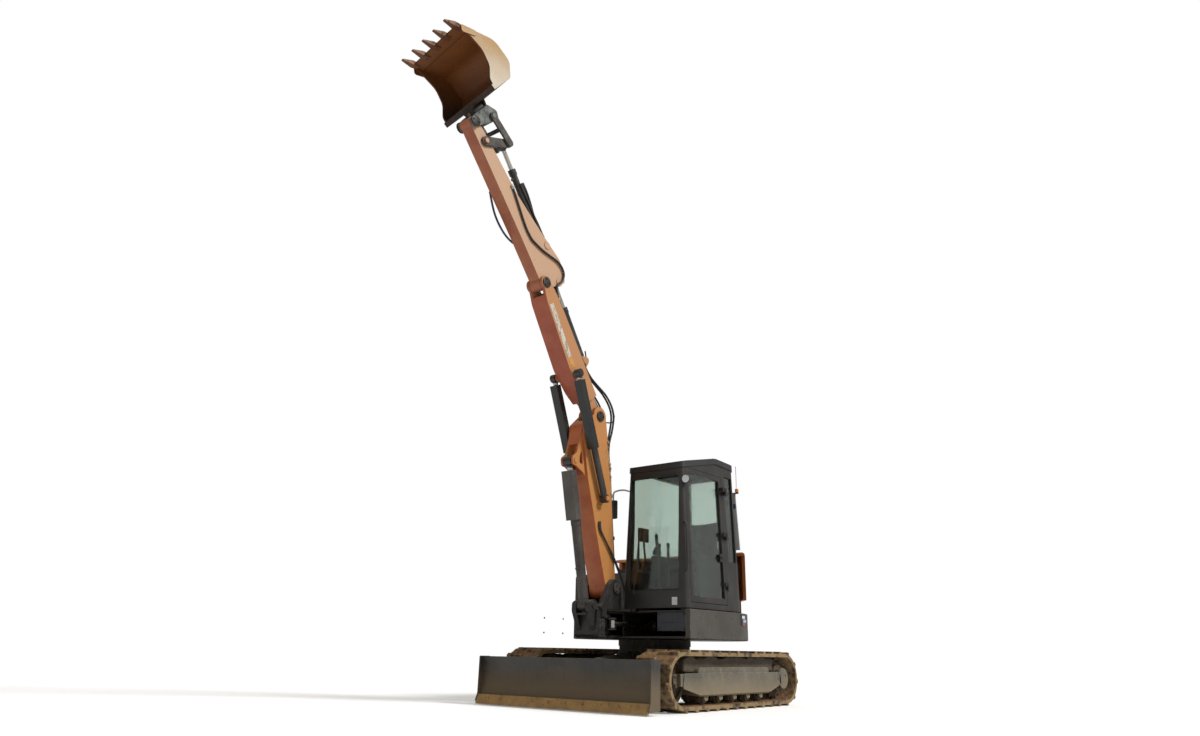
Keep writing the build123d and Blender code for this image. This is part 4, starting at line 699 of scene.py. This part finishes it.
# Injection-moulded ABS, greyed by sun: near black with a broad dull highlight.
black_plastic = weathered("black moulded plastic", "#1b1b1c", "#2a2a2b", "#55504a", 0.2, 0.45)
for side, hand in ((-1, "right"), (1, "left")):
    rear_turn = Matrix.Rotation(math.radians(12) * side, 4, "Z")
    back, front = side * 1.100 - 0.012, side * 1.100 + 0.012
    housing = block((back, -0.085, 0.878), (front, 0.085, 1.004), 0.008)
    housing.data.transform(rear_turn)
    settle(housing, f"tail_lamp_{hand}", black_plastic, "upper")
    for part, material, y, z in (("white", clear_lens, -0.020, 0.972), ("blue", blue_lens, 0.020, 0.932),
                                 ("red", red_lens, -0.015, 0.900)):
        pane = block((side * 1.112 - 0.006, y - 0.052, z - 0.017),
                     (side * 1.112 + 0.005, y + 0.052, z + 0.017), 0.004)
        pane.data.transform(rear_turn)
        settle(pane, f"tail_lens_{part}_{hand}", material, "upper")


# ---- cab shell and glass ----
# A shell of pressed and welded steel pillars in brown-grey enamel, with its roof pressed in one piece.
# Green-tinted safety glass is set in it in black rubber.
def tinted_glass():
    """Laminated glass with a green body tint and a thin film of dust, so edges and sky show green."""
    material, tree, shader, place = blank("green-tinted laminated glass")
    shader.inputs["Base Color"].default_value = linear("#ccd8d1")
    shader.inputs["Transmission Weight"].default_value = 1.0
    shader.inputs["IOR"].default_value = 1.5
    film = add(tree, "TexNoise", {"Vector": place.outputs["Object"], "Scale": 3.0, "Detail": 6.0})
    haze = add(tree, "MapRange", {"Value": film.outputs["Fac"], "From Min": 0.4, "From Max": 0.8,
                                  "To Min": 0.02, "To Max": 0.16})
    tree.links.new(haze.outputs[0], shader.inputs["Roughness"])
    return material


cab_paint = weathered("brown-grey cab enamel", "#211f1e", "#312e2c", "#4d4841", 0.15, 0.36, worn="#5f5a54")
roof_paint = weathered("dark roof enamel", "#1d1f20", "#2b2e30", "#55534d", 0.2, 0.4)
glass = tinted_glass()
coat(cab_paint, "cab_frame", "cab_door")
coat(roof_paint, "cab_roof")
coat(glass, "windscreen", "cab_windows", "cab_door_glass")
cab_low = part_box("cab_frame")[0]
door_low, door_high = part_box("cab_door")
screen_low, screen_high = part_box("windscreen")
# Extruded EPDM seal: matt grey-black, a little dusty.
rubber = weathered("black rubber", "#151515", "#232323", "#4a4540", 0.25, 0.75)


def hose(points, radius, order=3):
    """Round tube whose smooth line has these points as its control points."""
    curve = bpy.data.curves.new("route", "CURVE")
    curve.dimensions = "3D"
    line = curve.splines.new("NURBS")
    line.points.add(len(points) - 1)
    for spot, place in zip(line.points, points):
        spot.co = (*place, 1)
    line.order_u, line.use_endpoint_u = order, True
    curve.bevel_depth, curve.bevel_resolution, curve.resolution_u = radius, 3, 8
    curve.use_fill_caps = True
    tube = bpy.data.objects.new("route", curve)
    bpy.context.scene.collection.objects.link(tube)
    bpy.ops.object.select_all(action="DESELECT")
    tube.select_set(True)
    bpy.context.view_layer.objects.active = tube
    bpy.ops.object.convert(target="MESH")
    bpy.ops.object.shade_smooth()
    return bpy.context.object


# Door handle in its dished plate, grab rail, wiper, pillar lamp, and the mirror on its bent arm.
handle_z, door_back = door_low.z + 0.52, door_high.y
plate = block((0.974, door_back - 0.145, handle_z - 0.045), (0.987, door_back - 0.055, handle_z + 0.045),
              0.006)
settle(plate, "door_latch_plate", black_plastic, "cab_door")
lever = hose([Vector((x, door_back - y, handle_z + z)) for x, y, z in (
    (0.984, 0.135, 0.01), (1.010, 0.130, 0.01), (1.012, 0.10, 0.008), (1.008, 0.062, 0))], 0.007)
settle(lever, "door_handle", black_plastic, "cab_door")
rail = hose([Vector((x, cab_low.y + 0.012 + lean, z)) for x, lean, z in (
    (0.957, 0.02, 1.42), (1.000, 0.01, 1.42), (1.006, 0.01, 1.47), (0.993, 0.02, 1.90), (0.986, 0.02, 1.95),
    (0.946, 0.03, 1.95))], 0.011)
settle(rail, "grab_rail", roof_paint, "upper")
wiper_root = Vector((0.30, -0.838, 1.195))
motor_cap = disc(wiper_root + Vector((0, 0.006, 0)), (0, -1, 0), 0.022, 0.030, 0.006)
settle(motor_cap, "wiper_spindle", black_plastic, "upper")
wiper_arm = hose([wiper_root + Vector(step) for step in (
    (0, -0.006, 0), (0.03, -0.010, 0.22), (0.055, -0.004, 0.44), (0.060, 0.004, 0.56))], 0.006)
settle(wiper_arm, "wiper_arm", black_plastic, "upper")
blade_strip = block((0.352, -0.836, 1.46), (0.368, -0.820, 1.92), 0.004)
settle(blade_strip, "wiper_blade", rubber, "upper")
lamp_spot, lamp_aim = Vector((0.985, -0.78, 2.43)), (0.12, -1, -0.15)
shell = disc(lamp_spot, lamp_aim, 0.050, 0.060, 0.012)
settle(shell, "pillar_lamp", black_plastic, "upper")
face = disc(lamp_spot + Vector((0.004, -0.031, -0.004)), lamp_aim, 0.042, 0.006, 0.002)
settle(face, "pillar_lamp_lens", clear_lens, "upper")
mirror_arm = hose([Vector(spot) for spot in (
    (0.20, -0.800, 2.36), (0.13, -0.802, 2.39), (-0.02, -0.802, 2.38), (-0.032, -0.802, 2.34),
    (-0.032, -0.802, 2.24))], 0.010)
# Powder-coated tube: a pale line against the dark pillar.
tube_grey = weathered("pale grey tube enamel", "#b5b2ac", "#c6c3bc", "#8d8577", 0.3, 0.5)
settle(mirror_arm, "mirror_arm", tube_grey, "upper")
head = block((-0.088, -0.824, 2.055), (0.026, -0.781, 2.275), 0.018)
settle(head, "mirror_shell", black_plastic, "upper")
pane = block((-0.078, -0.782, 2.067), (0.016, -0.778, 2.263), 0.001)
settle(pane, "mirror_glass", chrome, "upper")

# Extruded trim behind the left rear pillar, pale grey with a band of blue tape; the radio whip and
# the amber lamp stand on a bracket at its top. It leans in with the pillar.
blue_tape = weathered("blue tape", "#2c4a78", "#3f6090", "#6a6458", 0.2, 0.5)
trim_grey = weathered("pale grey trim", "#a9aaa8", "#bdbcb8", "#8d8577", 0.25, 0.5)
trim_foot = 1.76
trim = block((0.905, 0.414, trim_foot), (0.968, 0.426, 2.46), 0.004)
blue_band = block((0.903, 0.412, 2.26), (0.962, 0.429, 2.32), 0.003)
for vertex in list(trim.data.vertices) + list(blue_band.data.vertices):
    vertex.co.x -= 0.040 * (vertex.co.z - trim_foot) / 0.66
settle(blue_band, "rear_pillar_band", blue_tape, "upper")
settle(trim, "rear_pillar_trim", trim_grey, "upper")
whip = hose([Vector(spot) for spot in (
    (0.925, 0.405, 2.42), (0.945, 0.415, 2.46), (0.945, 0.415, 2.70), (0.940, 0.420, 2.785))], 0.003)
settle(whip, "radio_whip", black_plastic, "upper")
bracket = block((0.925, 0.392, 2.44), (0.972, 0.425, 2.455), 0.003)
settle(bracket, "lamp_bracket", roof_paint, "upper")
cone = disc((0.955, 0.405, 2.478), (0, 0, 1), 0.022, 0.044, 0.010)
settle(cone, "amber_lamp", amber_lens, "upper")
reflector = block((0.812, cab_low.y - 0.004, 1.062), (0.880, cab_low.y + 0.004, 1.146), 0.003)
settle(reflector, "front_reflector", clear_lens, "upper")
for name, edge in (("lower", screen_low.z), ("upper", screen_high.z)):
    strip = block((0.245, -0.822, edge - 0.012), (0.888, -0.800, edge + 0.012), 0.004)
    settle(strip, f"screen_seal_{name}", rubber, "upper")


# ---- seats ----
# Moulded foam pads under woven cloth, glued to a steel pan and a steel back shell. They crown
# between their sewn edges, and the cushion has a piped seam round its top.
def seat_cloth():
    """Woven polyester: dark blue-grey, the 1.2 mm thread drawn 3 mm coarse so that it shows."""
    material, tree, shader, place = blank("woven seat cloth")
    warp = add(tree, "TexWave", {"Vector": place.outputs["Object"], "Scale": 105.0}, bands_direction="X")
    weft = add(tree, "TexWave", {"Vector": place.outputs["Object"], "Scale": 105.0}, bands_direction="Y")
    weave = add(tree, "Math", {0: warp.outputs["Fac"], 1: weft.outputs["Fac"]}, operation="MULTIPLY")
    wear = add(tree, "TexNoise", {"Vector": place.outputs["Object"], "Scale": 9.0, "Detail": 5.0})
    share = add(tree, "Math", {0: weave.outputs[0], 1: 0.5, 2: wear.outputs["Fac"]},
                operation="MULTIPLY_ADD")
    colour = add(tree, "Mix", {0: share.outputs[0], 6: linear("#0f1217"), 7: linear("#20262e")},
                 data_type="RGBA")
    tree.links.new(colour.outputs[2], shader.inputs["Base Color"])
    shader.inputs["Roughness"].default_value = 0.92
    shader.inputs["Sheen Weight"].default_value = 0.3
    relief = add(tree, "Bump", {"Height": weave.outputs[0], "Distance": 0.0008, "Strength": 0.6})
    tree.links.new(relief.outputs[0], shader.inputs["Normal"])
    return material


cloth = seat_cloth()


def stuffed(node, name, shrink, cap):
    """Pad blown up from its CAD solid by a cloth simulation, crowned between its edges.

    shrink is how far its sides are drawn in first, and cap the furthest that a point may swell."""
    pad = frame["nodes"][node].copy()
    pad.data = pad.data.copy()
    pad.parent = None
    for key in list(pad.keys()):
        del pad[key]
    bpy.context.scene.collection.objects.link(pad)
    bpy.ops.object.select_all(action="DESELECT")
    pad.select_set(True)
    bpy.context.view_layer.objects.active = pad
    bpy.ops.object.mode_set(mode="EDIT")
    bpy.ops.mesh.select_all(action="SELECT")
    bpy.ops.mesh.remove_doubles(threshold=0.0002)
    bpy.ops.object.mode_set(mode="OBJECT")
    low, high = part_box(node)
    middle, half = (low + high) / 2, (high - low) / 2
    scale = Matrix.Diagonal([1 - shrink / size for size in half] + [1])
    pad.data.transform(Matrix.Translation(middle) @ scale @ Matrix.Translation(-middle))
    fine, coarse = 0.006, 0.010
    remesh = pad.modifiers.new("even", "REMESH")
    remesh.mode, remesh.voxel_size = "VOXEL", fine
    bpy.ops.object.modifier_apply(modifier="even")
    before = [vertex.co.copy() for vertex in pad.data.vertices]
    swell = pad.modifiers.new("swell", "CLOTH")
    swell.settings.use_pressure, swell.settings.uniform_pressure_force = True, 4.0
    swell.settings.effector_weights.gravity = 0
    for step in range(1, 21):
        bpy.context.scene.frame_set(step)
    shape = pad.evaluated_get(bpy.context.evaluated_depsgraph_get())
    for vertex, old, new in zip(pad.data.vertices, before, [v.co.copy() for v in shape.data.vertices]):
        move = new - old
        vertex.co = old + move * min(1, cap / max(move.length, 1e-9))
    pad.modifiers.clear()
    bpy.context.scene.frame_set(1)
    smooth = pad.modifiers.new("smooth", "SUBSURF")
    smooth.levels = smooth.render_levels = 1
    bpy.ops.object.modifier_apply(modifier="smooth")
    bpy.ops.object.shade_smooth()
    settle(pad, name, cloth, "upper")
    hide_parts(node)


stuffed("seat_cushion", "seat_cushion_pad", shrink=0.014, cap=0.022)
stuffed("seat_back", "seat_back_pad", shrink=0.014, cap=0.022)
coat(dark_steel, "seat_base")
pad_low, pad_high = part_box("seat_cushion")
# Vinyl cord sewn into the seam: a thin line, a little smoother than the cloth.
thread = weathered("seat piping", "#20262c", "#2b3238", "#3a3a38", 0.1, 0.7)
inset = 0.022
left_x, right_x = pad_high.x - inset, pad_low.x + inset
front_y, rear_y = pad_low.y + inset, pad_high.y - inset
loop = [Vector((x, y, pad_high.z - inset)) for x, y in (
    (right_x, front_y), (left_x, front_y), (left_x, rear_y), (right_x, rear_y), (right_x, front_y))]
settle(hose(loop, 0.0035, 2), "cushion_piping", thread, "upper")


# ---- controls ----
# Moulded consoles either side of the seat carry a joystick each, in a folded rubber boot. Two travel
# levers with pedals stand on the floor in front, and a display on its stalk at the right.
coat(black_plastic, "controls")
for side, x in (("right", 0.273), ("left", 0.833)):
    stick_y = -0.335
    boot = disc((x, stick_y, 1.690), (0, 0, 1), 0.052, 0.050, 0.012)
    bpy.ops.object.mode_set(mode="EDIT")
    bpy.ops.mesh.select_all(action="DESELECT")
    bpy.ops.object.mode_set(mode="OBJECT")
    for face in boot.data.polygons:
        face.select = face.normal.z > 0.9
    bpy.ops.object.mode_set(mode="EDIT")
    for rise, share in ((0.006, 0.86), (0.012, 0.94), (0.012, 0.78), (0.012, 0.88), (0.012, 0.66)):
        bpy.ops.mesh.extrude_region_move(TRANSFORM_OT_translate={"value": (0, 0, rise)})
        bpy.ops.transform.resize(value=(share, share, 1), center_override=(x, stick_y, 1.7))
    bpy.ops.object.mode_set(mode="OBJECT")
    settle(boot, f"joystick_boot_{side}", rubber, "upper")
    grip = disc((x, -0.340, 1.840), (0, -0.12, 1), 0.020, 0.130, 0.009)
    button = disc((x, -0.352, 1.912), (0, -0.12, 1), 0.008, 0.014, 0.003, 16)
    shaft = disc((x, -0.336, 1.760), (0, -0.12, 1), 0.008, 0.08, 0.001, 16)
    settle(joined([grip, button, shaft]), f"joystick_{side}", black_plastic, "upper")
for side, x in (("right", 0.503), ("left", 0.623)):
    knob = disc((x, -0.620, 1.730), (0, 0, 1), 0.019, 0.055, 0.012)
    pedal = block((x - 0.040, -0.690, 1.112), (x + 0.040, -0.560, 1.122), 0.004)
    settle(joined([knob, pedal]), f"travel_lever_{side}", rubber, "upper")
display = block((0.205, -0.62, 1.80), (0.235, -0.44, 1.96), 0.010)
stalk = hose([Vector((0.22, -0.50, 1.60)), Vector((0.22, -0.52, 1.72)), Vector((0.22, -0.53, 1.82))], 0.012)
settle(joined([display, stalk]), "display", black_plastic, "upper")


# ---- hoods and covers ----
# Pressed steel covers over the engine and the tanks. The hood has a fan of nineteen louvres round its
# tail and a push latch, the covers rows of moulded vents, and the tank a screw cap.
tail_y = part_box("rear_hood")[1].y
slats = []
for i in range(19):
    turn = math.radians(3 * i - 27)
    slat = block((-0.004, -0.006, 1.32), (0.004, 0.003, 1.60), 0.002)
    slat.data.transform(Matrix.Rotation(turn, 4, "Z") @ Matrix.Translation((0, tail_y - 0.0015, 0)))
    slats.append(slat)
settle(joined(slats), "hood_louvres", black_plastic, "rear_hood")
latch = block((-0.055, tail_y - 0.008, 1.235), (0.055, tail_y + 0.010, 1.275), 0.006)
settle(latch, "hood_latch", black_plastic, "rear_hood")
for name, body, y0 in (("right_side_cover", "right_side_cover", 0.20), ("tank_cover", "upper", -0.14)):
    low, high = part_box(name)
    starts = [low.x + 0.10 + 0.055 * i for i in range(9)]
    slots = [block((x, y0, high.z - 0.006), (x + 0.03, y0 + 0.20, high.z + 0.003), 0.003) for x in starts]
    settle(joined(slots), f"{name}_vents", black_plastic, body)
cap = disc((-0.55, 0.07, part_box("tank_cover")[1].z + 0.018), (0, 0, 1), 0.050, 0.036, 0.008, 24)
settle(cap, "fuel_cap", black_plastic, "upper")


# ---- hydraulic hoses ----
# Rubber hoses braided with steel wire, with crimped and zinc-plated ends. They run up the backs of
# the booms in bolted clamps and loop slackly over each joint.
# Extruded covers, black, teal or blue: satin, and dusty only where they face up.
hose_rubber = weathered("hydraulic hose rubber", "#141312", "#201e1d", "#4a4238", 0.12, 0.55, edge=0)
teal_hose = weathered("teal hose sleeve", "#1d3238", "#2b454b", "#54503f", 0.12, 0.55, edge=0)
blue_hose = weathered("blue hose cover", "#1c2440", "#2d3a60", "#54503f", 0.12, 0.55, edge=0)
# Bright zinc on turned steel: pale grey metal with dull spots.
crimp_steel = weathered("zinc-plated crimp", "#8d8f8e", "#a8a9a6", "#5b5145", 0.3, 0.35, metal=0.7)
for i, x in enumerate((-0.095, -0.070, 0.070, 0.095)):
    back_run = [base.at(along, out, x) for along, out in (
        (0.30, 0.105), (0.80, 0.122), (1.30, 0.146), (1.50, 0.142))]
    settle(hose(back_run, 0.012), f"base_boom_hose_{i}", hose_rubber, "base_boom")
    bulge = 0.015 * (i % 2)
    over = [base.at(along, out, x) for along, out in (
        (1.49, 0.142), (1.62, 0.150), (1.80, 0.235 + bulge), (2.02, 0.300 + bulge))]
    over += [upper.at(0.13, 0.285 + bulge, x), upper.at(0.33, 0.190, x), upper.at(0.48, 0.118, x * 1.01),
             upper.at(0.60, 0.112, x * 1.01)]
    fold_hose = settle(hose(over, 0.012), f"fold_hose_{i}", hose_rubber)
    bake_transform(fold_hose)
for i, x in enumerate((-0.097, 0.097)):
    sleeve = [upper.at(along, out, x) for along, out in (
        (0.58, 0.112), (0.90, 0.118), (1.25, 0.122), (1.40, 0.119))]
    settle(hose(sleeve, 0.011), f"upper_boom_hose_{i}", teal_hose, "upper_boom")
for side, hand in ((-1, "right"), (1, "left")):
    s_bend = [upper.at(along, out, side * x) for along, out, x in (
        (1.39, 0.119, 0.097), (1.48, 0.122, 0.095), (1.60, 0.185, 0.094))]
    s_bend += [arm.at(along, out, side * x) for along, out, x in (
        (-0.10, 0.31, 0.094), (-0.03, 0.41, 0.094), (0.11, 0.40, 0.094), (0.25, 0.27, 0.092),
        (0.37, 0.17, 0.091), (0.50, 0.10, 0.091))]
    joint_hose = settle(hose(s_bend, 0.013), f"arm_joint_hose_{hand}", hose_rubber)
    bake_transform(joint_hose)
    arm_run = [arm.at(along, out, side * x) for along, out, x in (
        (0.49, 0.105, 0.091), (0.60, 0.082, 0.091), (0.80, 0.112, 0.091), (1.02, 0.150, 0.091),
        (1.12, 0.165, 0.088))]
    settle(hose(arm_run, 0.012), f"arm_side_hose_{hand}", hose_rubber, "arm")
    for name, link, spot in (("near", upper, upper.at(1.43, 0.121, side * 0.096)),
                             ("far", arm, arm.at(1.11, 0.163, side * 0.088))):
        crimp = disc(spot, link.along, 0.017, 0.050, 0.003, 18)
        settle(crimp, f"hose_crimp_{name}_{hand}", crimp_steel, link.body)

# Three hoses strapped along the bucket cylinder's near side, a little slack between the straps.
root = pin["bucket_ram_barrel_pivot"]
down = (Vector(rod_eyes["bucket_ram_rod"][0]) - root).normalized()
outward = Vector((0, down.z, -down.y))
for i, (x, lift, bow) in enumerate(((0.036, 0.030, 0.016), (0.046, 0.006, -0.012), (0.030, 0.052, 0.026))):
    run = [root + down * along + outward * (lift + bow * math.sin(9 * along + i)) + Vector((x, 0, 0))
           for along in (0.10, 0.24, 0.38, 0.52, 0.66, 0.76)]
    settle(hose(run, 0.013), f"bucket_ram_hose_{i}", hose_rubber, "bucket_ram_barrel")

# The blue hose that sags below the arm, and the pair from the swing post to the lift ram's port.
sag = [arm.at(along, out, x) for along, out, x in (
    (1.16, -0.02, -0.090), (1.05, -0.060, -0.092), (0.92, -0.100, -0.092), (0.78, -0.105, -0.092),
    (0.62, -0.070, -0.092), (0.54, -0.01, -0.090))]
settle(hose(sag, 0.012), "arm_belly_hose", blue_hose, "arm")
for i in range(2):
    shift = 0.02 * i
    drop = [base.at(along, out, x) for along, out, x in (
        (0.74, shift - 0.16, 0.131), (0.67, shift - 0.185, 0.134), (0.53, -0.08, 0.136),
        (0.35, shift + 0.03, 0.138), (0.12, shift + 0.15, 0.140), (-0.04, 0.20, 0.150),
        (-0.15, 0.17, 0.155))]
    lift_hose = settle(hose(drop, 0.009), f"lift_hose_{i}", hose_rubber)
    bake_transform(lift_hose)

# Bolted clamps, one bar across the lower boom's back and a pad for each hose on the upper boom, and
# a hook of bent rod at each end of the loop over the fold.
for link, spots, depth, pads in ((base, (0.55, 1.05), 0.100, ((0, 0.112, -0.008),)),
                                 (upper, (0.62, 1.20), 0.092, ((-0.097, 0.017, 0), (0.097, 0.017, 0)))):
    turn = Matrix((Vector((1, 0, 0)), link.along, link.out)).transposed().to_4x4()
    for i, along in enumerate(spots):
        bars = [block((x - half, -0.020, foot), (x + half, 0.020, 0.034), 0.005) for x, half, foot in pads]
        for bar in bars:
            bar.data.transform(Matrix.Translation(link.at(along, depth)) @ turn)
        clamp = joined(bars) if len(bars) > 1 else bars[0]
        settle(clamp, f"hose_clamp_{link.body}_{i}", dark_steel, link.body)
for name, link, along, reach in (("base", base, 1.90, 0.33), ("upper", upper, 0.645, 0.24)):
    bent_rod = [link.at(along, 0.10, 0.060), link.at(along, reach * 0.8, 0.062),
                link.at(along + 0.02, reach, 0.064), link.at(along + 0.10, reach + 0.02, 0.066)]
    settle(hose(bent_rod, 0.008), f"hose_hook_{name}", dark_steel, link.body)


# ---- soil on the lower boom ----
# Clods of dried soil that cling to the lower boom's back, among the hoses and the clamps. They are
# pale tan, matt and crumbly, broken balls half sunk in the plate.
boom_soil = weathered("dried tan soil", "#8f765a", "#b09877", "#5d4b37", 0.5, 0.9, lump=0.010, patch=0.08)
lumps = []
turn = base.out.to_track_quat("Z", "Y").to_matrix().to_4x4()
for i in range(110):
    along = random.uniform(0.75, 1.90)
    lump = clod(random.uniform(0.014, 0.040), 200 + i)
    spot = base.at(along, 0.098 + 0.027 * min(1, along / 1.24) - 0.008, random.uniform(-0.112, 0.112))
    lump.data.transform(Matrix.Translation(spot) @ turn)
    lumps.append(lump)
cake = joined(lumps)
bpy.ops.object.shade_smooth()
settle(cake, "soil_on_boom", boom_soil, "base_boom")
